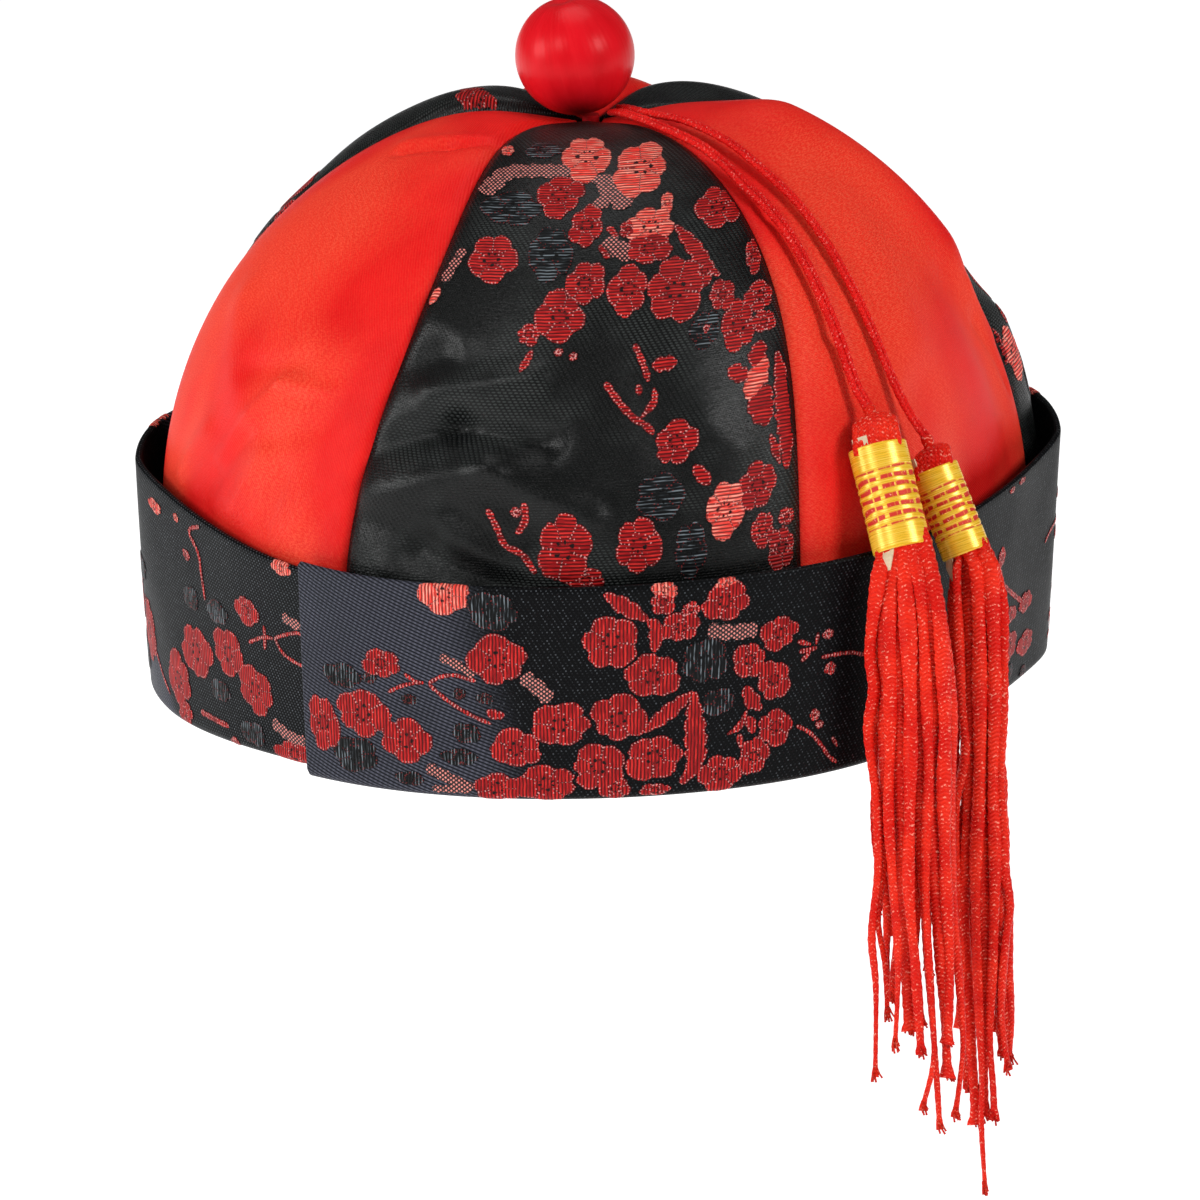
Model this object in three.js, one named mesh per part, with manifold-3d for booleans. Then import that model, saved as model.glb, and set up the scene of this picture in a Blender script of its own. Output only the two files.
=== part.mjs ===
// A mandarin hat: a crown of six gores, a turned-up cuff with a lapped end, a ball button,
// and two tassels that hang on doubled cords from under the button.
//
// Millimetres, +Z up.  The wearer faces -Y, and the wearer's left hand is towards +X.
// The origin is the middle of the head opening, in the plane of the cuff's folded lower edge.
// A bearing is the angle round the head, in degrees from the front (-Y) towards +X.

import * as THREE from 'three';
import { mergeVertices } from 'three/addons/utils/BufferGeometryUtils.js';
import Module from 'manifold-3d';

// ---- Driving sizes ------------------------------------------------------------------

const CLEARANCE = 0.3;            // between neighbouring pieces

const CROWN_WALL = 1.5;
const CUFF_WALL = 1.5;
const CUFF_HEIGHT = 48;

// Outlines round the head: how far their middle lies to the wearer's left, half the width,
// the reach forwards and backwards from the origin, where the widest place lies, and how far
// the front is drawn in beside the creased end at the wearer's right and left.
const CROWN_PLAN = {
  aside: -1.2, halfWidth: 96.9, front: 89.2, back: 79, middle: 6, rightCorner: 0.7, leftCorner: 0.8,
};
const FOOT_PLAN = {
  aside: -1.6, halfWidth: 100.6, front: 94, back: 83.5, middle: 1, rightCorner: 0.25, leftCorner: 0.64,
};
const BRIM_PLAN = {
  aside: 0, halfWidth: 104, front: 93.7, back: 88, middle: 8, rightCorner: 0.76, leftCorner: 0.78,
};

// The crown rises straight from its hem to the spring line and then closes as a dome.
const HEM_HEIGHT = 3.6;
const SPRING_HEIGHT = 35;
const DOME_RISE = 99.5;
const SINK_DEPTH = 6.5;           // the gathered top is drawn down under the button
const SINK_REACH = 0.224;         // as a share of the dome's half width
const CROWN_TWIST = 10;           // how far round the seams drift from the hem to the top
const EYELET_RADIUS = 3.2;        // the hole left where the gores' tips meet

const BALL_RADIUS = 13.2;
const BALL_CENTRE = new THREE.Vector3(-2.4, -0.2, 142.4);
const EYELET_CENTRE = new THREE.Vector3(0.6, 0, 127.6);

// ---- Colours ------------------------------------------------------------------------

const RED_SATIN = { color: 0xec2024, roughness: 0.35, metalness: 0 };
const BLACK_BROCADE = { color: 0x17191c, roughness: 0.45, metalness: 0 };
const RED_THREAD = { color: 0xe32a20, roughness: 0.45, metalness: 0 };
const GOLD_THREAD = { color: 0xf4c21f, roughness: 0.3, metalness: 0 };
const PALE_CARD = { color: 0xd9c49a, roughness: 0.5, metalness: 0 };

// ---- Gores --------------------------------------------------------------------------

// The bearing of each seam at the hem, and how it strays on its way up: drift grows evenly
// as the crown closes, bend with the square.
const SEAMS = {
  rightFront: { bearing: -35, drift: 21.5, bend: -54 },
  leftFront: { bearing: 27.2, drift: 24, bend: -25.6 },
  leftSide: { bearing: 90, drift: 0, bend: 0 },
  leftRear: { bearing: 146, drift: 0, bend: 0 },
  rightRear: { bearing: 201, drift: 0, bend: 0 },
  rightSide: { bearing: 257, drift: 0, bend: 0 },
};

// Each gore runs from one seam to the next one.  swell is how far its middle stands proud
// of its seams.
const GORES = [
  {
    name: 'crown_gore_front', from: SEAMS.rightFront, to: SEAMS.leftFront,
    swell: 1.6, finish: BLACK_BROCADE,
  },
  {
    name: 'crown_gore_front_left', from: SEAMS.leftFront, to: SEAMS.leftSide,
    swell: 2, finish: RED_SATIN,
  },
  {
    name: 'crown_gore_back_left', from: SEAMS.leftSide, to: SEAMS.leftRear,
    swell: 3.6, finish: BLACK_BROCADE,
  },
  {
    name: 'crown_gore_back', from: SEAMS.leftRear, to: SEAMS.rightRear,
    swell: 4, finish: RED_SATIN,
  },
  {
    name: 'crown_gore_back_right', from: SEAMS.rightRear, to: SEAMS.rightSide,
    swell: 3.6, finish: BLACK_BROCADE,
  },
  {
    name: 'crown_gore_front_right', from: SEAMS.rightSide, to: SEAMS.rightFront,
    swell: 1.6, finish: RED_SATIN,
  },
];

// Dents and ridges in the cloth, measured on a gore: across from its middle, up from its
// hem.  Each follows a straight line, fades over its reach, and lifts the cloth or sinks it.
const FOLDS = [
  { gore: 'crown_gore_front', from: [-34, 66], to: [-2, 78], reach: 7, lift: -1.6 },
  { gore: 'crown_gore_front', from: [-30, 48], to: [-10, 40], reach: 6, lift: -1.2 },
  { gore: 'crown_gore_front', from: [10, 96], to: [22, 62], reach: 6, lift: -1.1 },
  { gore: 'crown_gore_front_left', from: [-17, 140], to: [-26, 96], reach: 4, lift: -1.6 },
  { gore: 'crown_gore_front_left', from: [-26, 96], to: [-29, 58], reach: 4, lift: -1.2 },
  { gore: 'crown_gore_front_left', from: [-25, 140], to: [-35, 96], reach: 4.5, lift: 1.3 },
  { gore: 'crown_gore_front_left', from: [18, 88], to: [27, 48], reach: 7, lift: -1.4 },
  { gore: 'crown_gore_front_left', from: [7, 146], to: [30, 98], reach: 14, lift: 4.2 },
  { gore: 'crown_gore_front_right', from: [17, 158], to: [26, 128], reach: 4, lift: -1.2 },
  { gore: 'crown_gore_front_right', from: [5, 62], to: [15, 40], reach: 6, lift: -1.5 },
  { gore: 'crown_gore_back_left', from: [-8, 120], to: [6, 70], reach: 9, lift: -1.4 },
  { gore: 'crown_gore_back_left', from: [-8, 160], to: [-16, 130], reach: 12, lift: -2.2 },
  { gore: 'crown_gore_back', from: [-18, 110], to: [-6, 64], reach: 8, lift: -1.4 },
  { gore: 'crown_gore_back_right', from: [12, 112], to: [-4, 66], reach: 9, lift: -1.4 },
  { gore: 'crown_gore_back_right', from: [10, 168], to: [12, 156], reach: 8, lift: 1.8 },
];

const SWELL_FADE = 0.2;           // share of the dome's half width near the top where gores lie flat
const GORE_COLUMNS = 8;
const WALL_ROWS = 3;
const DOME_ROWS = 12;

// ---- Cuff ---------------------------------------------------------------------------

const LAP_BEARING = -39.5;        // where the upper end of the cuff lies over the lower one
const LAP_SPAN = 8;               // how far round the lower end runs on beneath it
const LAP_EASE = 34;              // how far round it takes to slip under
const LAP_DROP = 2;               // the lower end's top edge is that much lower
const SIDE_RISE = 5.4;            // the cuff stands that much higher at the sides and the back
const CUFF_COLUMNS = 72;

// The section of the cuff, from under the crown's hem, round the fold and up the wall:
// how far inside the outline its outer and inner face lie, and their heights.
const CUFF_SECTION = [
  { outerInset: 6.2, outerHeight: 0, innerInset: 6.2, innerHeight: 1.5 },
  { outerInset: 1.6, outerHeight: 0, innerInset: 2.4, innerHeight: 1.5 },
  { outerInset: 0.4, outerHeight: 0.6, innerInset: 1.8, innerHeight: 1.9 },
  { outerInset: 0, outerHeight: 2.2, innerInset: CUFF_WALL, innerHeight: 3 },
  { outerInset: 0, outerHeight: 17, innerInset: CUFF_WALL, innerHeight: 17 },
  { outerInset: 0, outerHeight: 33, innerInset: CUFF_WALL, innerHeight: 33 },
  { outerInset: 0, outerHeight: 47.2, innerInset: CUFF_WALL, innerHeight: 47.2 },
  { outerInset: 0.4, outerHeight: CUFF_HEIGHT, innerInset: 1.1, innerHeight: CUFF_HEIGHT },
];

// ---- Tassels and cords --------------------------------------------------------------

// A tassel's yarn is folded over at the crest, bound by a winding from the collar to the
// waist, and hangs free below it.  halfWidth and halfDepth are the winding's outer radii.
// hang lists the middle of the fringe from top to bottom with its own radii.  The angles of
// the stiffener run round the head of the tassel from the wearer's left to the front.
const TASSELS = [
  {
    name: 'tassel_1',
    crest: [59.6, -62.6, 76.4],
    collar: [60.1, -66.9, 69.6],
    waist: [64.7, -77.2, 49.3],
    halfWidth: 6.4,
    halfDepth: 5.2,
    stiffener: { fromAngle: 110, toAngle: 152, above: 2.2, below: 4.4 },
    hang: [
      { middle: [65.6, -80.2, 39], halfWidth: 7.4, halfDepth: 5.2 },
      { middle: [65.2, -81.2, 15], halfWidth: 8.6, halfDepth: 5.6 },
      { middle: [64.4, -81.2, -8], halfWidth: 9, halfDepth: 5.8 },
      { middle: [65, -81, -42], halfWidth: 9.2, halfDepth: 5.8 },
      { middle: [66, -81, -68], halfWidth: 8.6, halfDepth: 5.6 },
      { middle: [67, -81, -82], halfWidth: 5.6, halfDepth: 4 },
    ],
  },
  {
    name: 'tassel_2',
    crest: [72.3, -55.2, 66.4],
    collar: [72.5, -57.8, 61.6],
    waist: [79, -63.8, 44],
    halfWidth: 5.4,
    halfDepth: 4.6,
    stiffener: { fromAngle: 134, toAngle: 182, above: 3.4, below: 4.6 },
    hang: [
      { middle: [79.8, -65.4, 33], halfWidth: 6.2, halfDepth: 5 },
      { middle: [80.2, -65.8, 10], halfWidth: 6.8, halfDepth: 5.2 },
      { middle: [80.2, -65.8, -12], halfWidth: 6.8, halfDepth: 5.4 },
      { middle: [80.9, -66.2, -47], halfWidth: 7.4, halfDepth: 5.6 },
      { middle: [81.6, -66.4, -78], halfWidth: 6.6, halfDepth: 5.2 },
      { middle: [81.2, -66.4, -96], halfWidth: 3.8, halfDepth: 3.4 },
    ],
  },
];
const YARN_SIDES = 16;
const WINDING_WALL = 0.8;
const WINDING_ROWS = 4;
const STIFFENER_WALL = 0.6;
const SLOT_OPENING = 4;

// Each cord's route over the crown, from beside the button's shank to the tassel's crest.
const CORDS = [
  {
    name: 'cord_1',
    width: 2.8,
    route: [
      [5.6, -6.6, 130.8], [7.4, -10.5, 131.6], [9.9, -15.3, 131.9], [13.5, -20.2, 131.7],
      [18.9, -24.6, 130.2], [24.6, -28.5, 128], [29.2, -32, 124.9], [33.1, -35.7, 121.4],
      [37.3, -39, 117.8], [40.8, -42.1, 114.1], [43.4, -44.6, 110.6], [45.8, -47.3, 106.7],
      [47.9, -49.8, 102.6], [49.9, -52.2, 98.2], [51.8, -54.5, 93.7], [53.4, -56.6, 89],
      [54.9, -58.5, 84.4], [56.4, -60.2, 80.6], [58.5, -61.8, 77.2],
    ],
  },
  {
    name: 'cord_2',
    width: 2.4,
    route: [
      [7.4, -2.2, 130.8], [9.4, -6.4, 131.4], [12.2, -11.4, 131.8], [15.8, -15.5, 131.9],
      [20.6, -19.3, 131.7], [26, -22.9, 130.1], [31.3, -26.5, 127.7], [36.1, -29.8, 124.2],
      [40.8, -32.7, 120.3], [45, -35.4, 116.3], [48.5, -38.1, 111.9], [51.6, -40.7, 107.5],
      [54.3, -43, 102.9], [56.9, -45.1, 98], [59.3, -47.2, 92.7], [61.5, -49, 87.3],
      [63.6, -50.6, 81.8], [65.9, -52, 76.6], [68.2, -53.2, 72.2], [71.2, -54.6, 67.8],
    ],
  },
];
const CORD_SIDES = 8;
const CORD_STEPS = 44;

// ---- Shapes -------------------------------------------------------------------------

const radians = THREE.MathUtils.degToRad;

// The point of an outline at a bearing.  The back half is a plain half ellipse, and
// crease fades the drawn-in ends of the front half.
function outlinePoint(plan, bearing, crease = 1) {
  const across = Math.sin(radians(bearing));
  const along = Math.cos(radians(bearing));
  const corner = crease * (across < 0 ? plan.rightCorner : plan.leftCorner);
  const reach = along > 0
    ? (plan.front + plan.middle) * (1 - corner * across ** 6)
    : plan.back - plan.middle;
  return new THREE.Vector2(plan.aside + plan.halfWidth * across, plan.middle - reach * along);
}

// The smooth crown without its seams.  climb runs from 0 at the hem to 1 at the spring
// line and on to 2 at the top.
function crownPoint(bearing, climb) {
  const wallShare = Math.min(climb, 1);
  const slope = radians(90) * Math.max(climb - 1, 0);
  const spread = Math.cos(slope);
  const edge = outlinePoint(CROWN_PLAN, bearing + CROWN_TWIST * (1 - spread), spread ** 2);
  const sink = SINK_DEPTH * Math.exp(-((spread / SINK_REACH) ** 2));
  const height = THREE.MathUtils.lerp(HEM_HEIGHT, SPRING_HEIGHT, wallShare)
    + DOME_RISE * Math.sin(slope) - sink;
  return new THREE.Vector3(
    THREE.MathUtils.lerp(EYELET_CENTRE.x, edge.x, spread),
    THREE.MathUtils.lerp(EYELET_CENTRE.y, edge.y, spread),
    height,
  );
}

function crownNormal(bearing, climb) {
  const step = 0.01;
  const round = crownPoint(bearing + 1, climb).sub(crownPoint(bearing - 1, climb));
  const rise = crownPoint(bearing, Math.min(climb + step, 2))
    .sub(crownPoint(bearing, climb - step));
  return round.cross(rise).normalize();
}

// The climb at which the gores stop around the eyelet.
const TIP_CLIMB = 1 + Math.acos(EYELET_RADIUS / CROWN_PLAN.halfWidth) / radians(90);
const WALL_LENGTH = SPRING_HEIGHT - HEM_HEIGHT;
const DOME_LENGTH = radians(90) * (CROWN_PLAN.halfWidth + DOME_RISE) / 2;

function seamBearing(seam, climb) {
  const closed = 1 - Math.cos(radians(90) * Math.max(climb - 1, 0));
  return seam.bearing + seam.drift * closed + seam.bend * closed ** 2;
}

// The bearings of a gore's two seams at a height.
function goreSeams(gore, climb) {
  const start = seamBearing(gore.from, climb);
  const end = seamBearing(gore.to, climb);
  return [start, end < start ? end + 360 : end];
}

// Where a place on a gore lies on its flat cloth, in millimetres.
function clothPlace(gore, bearing, climb) {
  const spread = Math.cos(radians(90) * Math.max(climb - 1, 0));
  const [start, end] = goreSeams(gore, 0);
  const across = radians(bearing - (start + end) / 2) * CROWN_PLAN.front * spread;
  const up = WALL_LENGTH * Math.min(climb, 1) + DOME_LENGTH * Math.max(climb - 1, 0);
  return new THREE.Vector2(across, up);
}

function foldLift(gore, bearing, climb) {
  const place = clothPlace(gore, bearing, climb);
  let lift = 0;
  for (const fold of FOLDS) {
    if (fold.gore !== gore.name) {
      continue;
    }
    const line = new THREE.Line3(
      new THREE.Vector3(...fold.from, 0),
      new THREE.Vector3(...fold.to, 0),
    );
    const nearest = new THREE.Vector3();
    line.closestPointToPoint(new THREE.Vector3(place.x, place.y, 0), true, nearest);
    const distance = Math.hypot(nearest.x - place.x, nearest.y - place.y);
    lift += fold.lift * Math.exp(-((distance / fold.reach) ** 2));
  }
  return lift;
}

// Half the clearance at a seam, as a turn in degrees.
function seamTrim(bearing, climb) {
  const perDegree = crownPoint(bearing + 0.5, climb).distanceTo(crownPoint(bearing - 0.5, climb));
  return CLEARANCE / 2 / perDegree;
}

// A point of a gore's outer face, or of the face that lies depth below it.
function gorePoint(gore, share, climb, depth) {
  const [start, end] = goreSeams(gore, climb);
  const bearing = THREE.MathUtils.lerp(
    start + seamTrim(start, climb),
    end - seamTrim(end, climb),
    share,
  );
  const arch = 1 - Math.abs(2 * share - 1) ** 2.4;
  const slope = radians(90) * Math.max(climb - 1, 0);
  const fade = 1 - Math.exp(-((Math.cos(slope) / SWELL_FADE) ** 2));
  const swell = gore.swell * arch * fade * Math.min(1, 1.8 * Math.sin(slope));
  const lift = swell + foldLift(gore, bearing, climb) * arch ** 0.5 - depth;
  return crownPoint(bearing, climb).addScaledVector(crownNormal(bearing, climb), lift);
}

function indexedGeometry(points, triangles) {
  const geometry = new THREE.BufferGeometry();
  geometry.setAttribute('position', new THREE.Float32BufferAttribute(points.flatMap((p) => p.toArray()), 3));
  geometry.setIndex(triangles);
  return geometry;
}

// A closed wall between two facing grids of points, outside[row][column] and the same
// inside.  Seen from outside, the columns run to the right and the rows run up.
function wallGeometry(outside, inside, looped = false) {
  const rows = outside.length;
  const columns = outside[0].length;
  const points = [...outside.flat(), ...inside.flat()];
  const at = (side, row, column) => side * rows * columns + row * columns + column % columns;
  const triangles = [];
  const quad = (a, b, c, d) => triangles.push(a, b, c, a, c, d);
  const spans = looped ? columns : columns - 1;
  for (let column = 0; column < spans; column += 1) {
    for (let row = 0; row < rows - 1; row += 1) {
      quad(at(0, row, column), at(0, row, column + 1), at(0, row + 1, column + 1), at(0, row + 1, column));
      quad(at(1, row, column + 1), at(1, row, column), at(1, row + 1, column), at(1, row + 1, column + 1));
    }
    quad(at(1, 0, column), at(1, 0, column + 1), at(0, 0, column + 1), at(0, 0, column));
    const top = rows - 1;
    quad(at(0, top, column), at(0, top, column + 1), at(1, top, column + 1), at(1, top, column));
  }
  if (!looped) {
    const last = columns - 1;
    for (let row = 0; row < rows - 1; row += 1) {
      quad(at(1, row, 0), at(0, row, 0), at(0, row + 1, 0), at(1, row + 1, 0));
      quad(at(0, row, last), at(1, row, last), at(1, row + 1, last), at(0, row + 1, last));
    }
  }
  return indexedGeometry(points, triangles);
}

function goreGeometry(gore) {
  const climbs = [];
  for (let row = 0; row <= WALL_ROWS; row += 1) {
    climbs.push(row / WALL_ROWS);
  }
  for (let row = 1; row <= DOME_ROWS; row += 1) {
    climbs.push(1 + (TIP_CLIMB - 1) * row / DOME_ROWS);
  }
  const grid = (depth) => climbs.map((climb) => {
    const line = [];
    for (let column = 0; column <= GORE_COLUMNS; column += 1) {
      line.push(gorePoint(gore, column / GORE_COLUMNS, climb, depth));
    }
    return line;
  });
  return wallGeometry(grid(0), grid(CROWN_WALL));
}

// A point of the cuff: inset from its outline, at a height above the fold.
function cuffPoint(bearing, inset, height) {
  const share = height / CUFF_HEIGHT;
  const at = (angle) => outlinePoint(FOOT_PLAN, angle).lerp(outlinePoint(BRIM_PLAN, angle), share);
  const edge = at(bearing);
  const along = at(bearing + 0.5).sub(at(bearing - 0.5)).normalize();
  const sideways = THREE.MathUtils.smoothstep(-Math.cos(radians(bearing)), -0.5, 0.3);
  const risen = height * (1 + sideways * SIDE_RISE / CUFF_HEIGHT);
  return new THREE.Vector3(edge.x - along.y * inset, edge.y + along.x * inset, risen);
}

function cuffGeometry() {
  const sweep = 360 + LAP_SPAN;
  const grid = (insetName, heightName) => CUFF_SECTION.map((row) => {
    const line = [];
    for (let column = 0; column <= CUFF_COLUMNS; column += 1) {
      const turned = sweep * column / CUFF_COLUMNS;
      const under = THREE.MathUtils.smoothstep(turned, 360 - LAP_EASE, 360);
      const height = row[heightName];
      const risen = under * (CUFF_WALL + CLEARANCE) * (1 - height / CUFF_HEIGHT)
        - under * LAP_DROP * height / CUFF_HEIGHT;
      const inset = row[insetName] + under * (CUFF_WALL + CLEARANCE);
      line.push(cuffPoint(LAP_BEARING + turned, inset, height + risen));
    }
    return line;
  });
  return wallGeometry(grid('outerInset', 'outerHeight'), grid('innerInset', 'innerHeight'));
}

// The ball button: thread wound over a bead, with a dimple at the top and a flat seat.
function ballGeometry() {
  const dimpleRadius = 2.6;
  const dimpleDepth = 1.1;
  const seatRadius = 3;
  const profile = [new THREE.Vector2(0, -Math.sqrt(BALL_RADIUS ** 2 - seatRadius ** 2))];
  const start = Math.asin(seatRadius / BALL_RADIUS);
  const end = Math.PI - Math.asin(dimpleRadius / BALL_RADIUS);
  const steps = 14;
  for (let step = 0; step <= steps; step += 1) {
    const angle = THREE.MathUtils.lerp(start, end, step / steps);
    profile.push(new THREE.Vector2(BALL_RADIUS * Math.sin(angle), -BALL_RADIUS * Math.cos(angle)));
  }
  profile.push(new THREE.Vector2(0, BALL_RADIUS - dimpleDepth));
  return new THREE.LatheGeometry(profile, 24);
}

// The shank that holds the button: a short post through the eyelet, headed inside.
function shankGeometry() {
  const postRadius = 1.9;
  const headRadius = 5;
  const headThickness = 1.2;
  const postTop = 1.2;
  const postFoot = -2.2;
  return new THREE.LatheGeometry([
    new THREE.Vector2(0, postFoot - headThickness),
    new THREE.Vector2(headRadius, postFoot - headThickness),
    new THREE.Vector2(headRadius, postFoot),
    new THREE.Vector2(postRadius, postFoot),
    new THREE.Vector2(postRadius, postTop),
    new THREE.Vector2(0, postTop),
  ], 20);
}

// The cross-section frame at a place on a tassel: width runs across the wearer's front and
// depth runs outwards from the hat.
function sectionFrame(direction) {
  const down = direction.clone().normalize();
  const width = new THREE.Vector3(1, 0, 0).addScaledVector(down, -down.x).normalize();
  const depth = new THREE.Vector3().crossVectors(down, width).normalize();
  return { width, depth };
}

// A point of an oval section, at an angle from its width axis towards its depth axis.
function sectionPoint(section, angle, margin = 0) {
  const { width, depth } = sectionFrame(section.direction);
  return section.middle.clone()
    .addScaledVector(width, (section.halfWidth + margin) * Math.cos(radians(angle)))
    .addScaledVector(depth, (section.halfDepth + margin) * Math.sin(radians(angle)));
}

// A closed solid through a list of oval sections, from top to bottom.
function ovalLoft(sections, sides) {
  const points = [];
  const triangles = [];
  for (const section of sections) {
    for (let side = 0; side < sides; side += 1) {
      points.push(sectionPoint(section, 360 * side / sides));
    }
  }
  const topMiddle = points.push(sections[0].middle.clone()) - 1;
  const bottomMiddle = points.push(sections.at(-1).middle.clone()) - 1;
  const lastRing = (sections.length - 1) * sides;
  for (let side = 0; side < sides; side += 1) {
    const next = (side + 1) % sides;
    for (let ring = 0; ring < sections.length - 1; ring += 1) {
      const above = ring * sides;
      const below = above + sides;
      triangles.push(above + side, below + next, below + side, above + side, above + next, below + next);
    }
    triangles.push(topMiddle, next, side);
    triangles.push(bottomMiddle, lastRing + side, lastRing + next);
  }
  return indexedGeometry(points, triangles);
}

function toVector(list) {
  return new THREE.Vector3(...list);
}

// The sections of a tassel's yarn, from its crest to the tips of its fringe.
function yarnSections(tassel) {
  const crest = toVector(tassel.crest);
  const collar = toVector(tassel.collar);
  const waist = toVector(tassel.waist);
  const dome = collar.clone().sub(crest);
  const down = waist.clone().sub(collar).normalize();
  const neckWidth = tassel.halfWidth - WINDING_WALL - CLEARANCE;
  const neckDepth = tassel.halfDepth - WINDING_WALL - CLEARANCE;
  const bulge = 0.3;
  const ease = 3 * CLEARANCE;
  const sections = [];
  const add = (middle, direction, halfWidth, halfDepth) => {
    sections.push({ middle, direction, halfWidth, halfDepth });
  };
  add(crest, dome, neckWidth * 0.45, neckDepth * 0.5);
  add(crest.clone().addScaledVector(dome, 0.22), dome, neckWidth * 0.75, neckDepth * 0.78);
  add(crest.clone().addScaledVector(dome, 0.6), dome, neckWidth, neckDepth);
  add(collar.clone().addScaledVector(down, -ease), down, neckWidth + bulge, neckDepth + bulge);
  add(collar, down, neckWidth, neckDepth);
  add(waist, down, neckWidth, neckDepth);
  add(waist.clone().addScaledVector(down, ease), down, neckWidth + bulge, neckDepth + bulge);
  let above = waist;
  for (const stop of tassel.hang) {
    const middle = toVector(stop.middle);
    add(middle, middle.clone().sub(above), stop.halfWidth, stop.halfDepth);
    above = middle;
  }
  return sections;
}

// The thread winding round a tassel's head: an open sleeve.
function windingGeometry(tassel) {
  const collar = toVector(tassel.collar);
  const waist = toVector(tassel.waist);
  const grid = (margin) => {
    const lines = [];
    for (let row = 0; row <= WINDING_ROWS; row += 1) {
      const line = [];
      const middle = waist.clone().lerp(collar, row / WINDING_ROWS);
      const section = { ...tassel, middle, direction: waist.clone().sub(collar) };
      for (let side = 0; side < YARN_SIDES; side += 1) {
        line.push(sectionPoint(section, -360 * side / YARN_SIDES, margin));
      }
      lines.push(line);
    }
    return lines;
  };
  return wallGeometry(grid(0), grid(-WINDING_WALL), true);
}

// The stiffener slipped under the winding, which ends in a point below the waist.  For the
// slot that it lies in, swell widens it on every side and opening carries its outer face out.
function stiffenerGeometry(tassel, swell = 0, opening = 0) {
  const { fromAngle, toAngle, above, below } = tassel.stiffener;
  const collar = toVector(tassel.collar);
  const waist = toVector(tassel.waist);
  const direction = waist.clone().sub(collar);
  const unit = direction.clone().normalize();
  const foot = waist.clone().addScaledVector(unit, below + swell);
  const top = collar.clone().addScaledVector(unit, -above - swell);
  const pointShare = below / foot.distanceTo(top);
  const face = WINDING_WALL + CLEARANCE + 0.1;
  const innerRadius = tassel.halfDepth - face - STIFFENER_WALL;
  const sideRoom = THREE.MathUtils.radToDeg(swell / innerRadius);
  const columns = 4;
  const outline = [
    { rise: 0, share: 0.25 },
    { rise: pointShare, share: 1 },
    { rise: 0.4, share: 1 },
    { rise: 0.7, share: 1 },
    { rise: 1, share: 1 },
  ];
  const grid = (margin) => outline.map(({ rise, share }) => {
    const line = [];
    const section = { ...tassel, middle: foot.clone().lerp(top, rise), direction };
    for (let column = 0; column <= columns; column += 1) {
      const halfAngle = share * (toAngle - fromAngle) / 2 + sideRoom;
      const turn = halfAngle * (1 - 2 * column / columns);
      line.push(sectionPoint(section, (fromAngle + toAngle) / 2 + turn, margin));
    }
    return line;
  });
  return wallGeometry(grid(opening - face), grid(-face - STIFFENER_WALL - swell));
}

function cordGeometry(cord) {
  const path = new THREE.CatmullRomCurve3(cord.route.map(toVector));
  const section = new THREE.Shape();
  for (let side = 0; side < CORD_SIDES; side += 1) {
    const angle = radians(360 * side / CORD_SIDES);
    const x = cord.width / 2 * Math.cos(angle);
    const y = cord.width / 2 * Math.sin(angle);
    if (side === 0) {
      section.moveTo(x, y);
    } else {
      section.lineTo(x, y);
    }
  }
  section.closePath();
  return new THREE.ExtrudeGeometry(section, { steps: CORD_STEPS, extrudePath: path });
}

// ---- Booleans -----------------------------------------------------------------------

const manifold = await Module();
manifold.setup();

function toSolid(geometry) {
  const bare = geometry.clone();
  bare.deleteAttribute('normal');
  bare.deleteAttribute('uv');
  const merged = mergeVertices(bare, 1e-4);
  return new manifold.Manifold(new manifold.Mesh({
    numProp: 3,
    vertProperties: new Float32Array(merged.attributes.position.array),
    triVerts: new Uint32Array(merged.index.array),
  }));
}

function cutGeometry(geometry, tool) {
  const mesh = toSolid(geometry).subtract(toSolid(tool)).getMesh();
  const cut = new THREE.BufferGeometry();
  cut.setAttribute('position', new THREE.BufferAttribute(new Float32Array(mesh.vertProperties), 3));
  cut.setIndex(Array.from(mesh.triVerts));
  return cut;
}

// ---- Assembly -----------------------------------------------------------------------

const hat = new THREE.Group();

function addPiece(name, geometry, finish) {
  const mesh = new THREE.Mesh(geometry, new THREE.MeshStandardMaterial(finish));
  mesh.name = name;
  hat.add(mesh);
  return mesh;
}

for (const gore of GORES) {
  addPiece(gore.name, goreGeometry(gore), gore.finish);
}
addPiece('cuff', cuffGeometry(), BLACK_BROCADE);

const shank = addPiece('button_shank', shankGeometry(), RED_SATIN);
shank.rotation.x = radians(90);
shank.position.copy(EYELET_CENTRE);

const ball = addPiece('top_button', ballGeometry(), RED_SATIN);
const buttonAxis = BALL_CENTRE.clone().sub(EYELET_CENTRE).normalize();
ball.quaternion.setFromUnitVectors(new THREE.Vector3(0, 1, 0), buttonAxis);
ball.position.copy(BALL_CENTRE);

for (const cord of CORDS) {
  addPiece(cord.name, cordGeometry(cord), RED_THREAD);
}

for (const tassel of TASSELS) {
  const slot = stiffenerGeometry(tassel, CLEARANCE, SLOT_OPENING);
  const yarn = cutGeometry(ovalLoft(yarnSections(tassel), YARN_SIDES), slot);
  addPiece(`${tassel.name}_yarn`, yarn, RED_THREAD);
  addPiece(`${tassel.name}_winding`, windingGeometry(tassel), GOLD_THREAD);
  addPiece(`${tassel.name}_stiffener`, stiffenerGeometry(tassel), PALE_CARD);
}

export default hat;
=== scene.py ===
"""A mandarin hat: satin and plum-blossom brocade gores, a turned-up brocade cuff, a ball of
wound thread on top, and two knitted tassels on doubled cords.

The shapes are worked out in millimetres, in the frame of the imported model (+Z up, the wearer
faces -Y, +X is the wearer's left), and made into meshes in metres.
"""
import math
import random

import bpy
import numpy as np
from mathutils import Matrix, Vector


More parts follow.
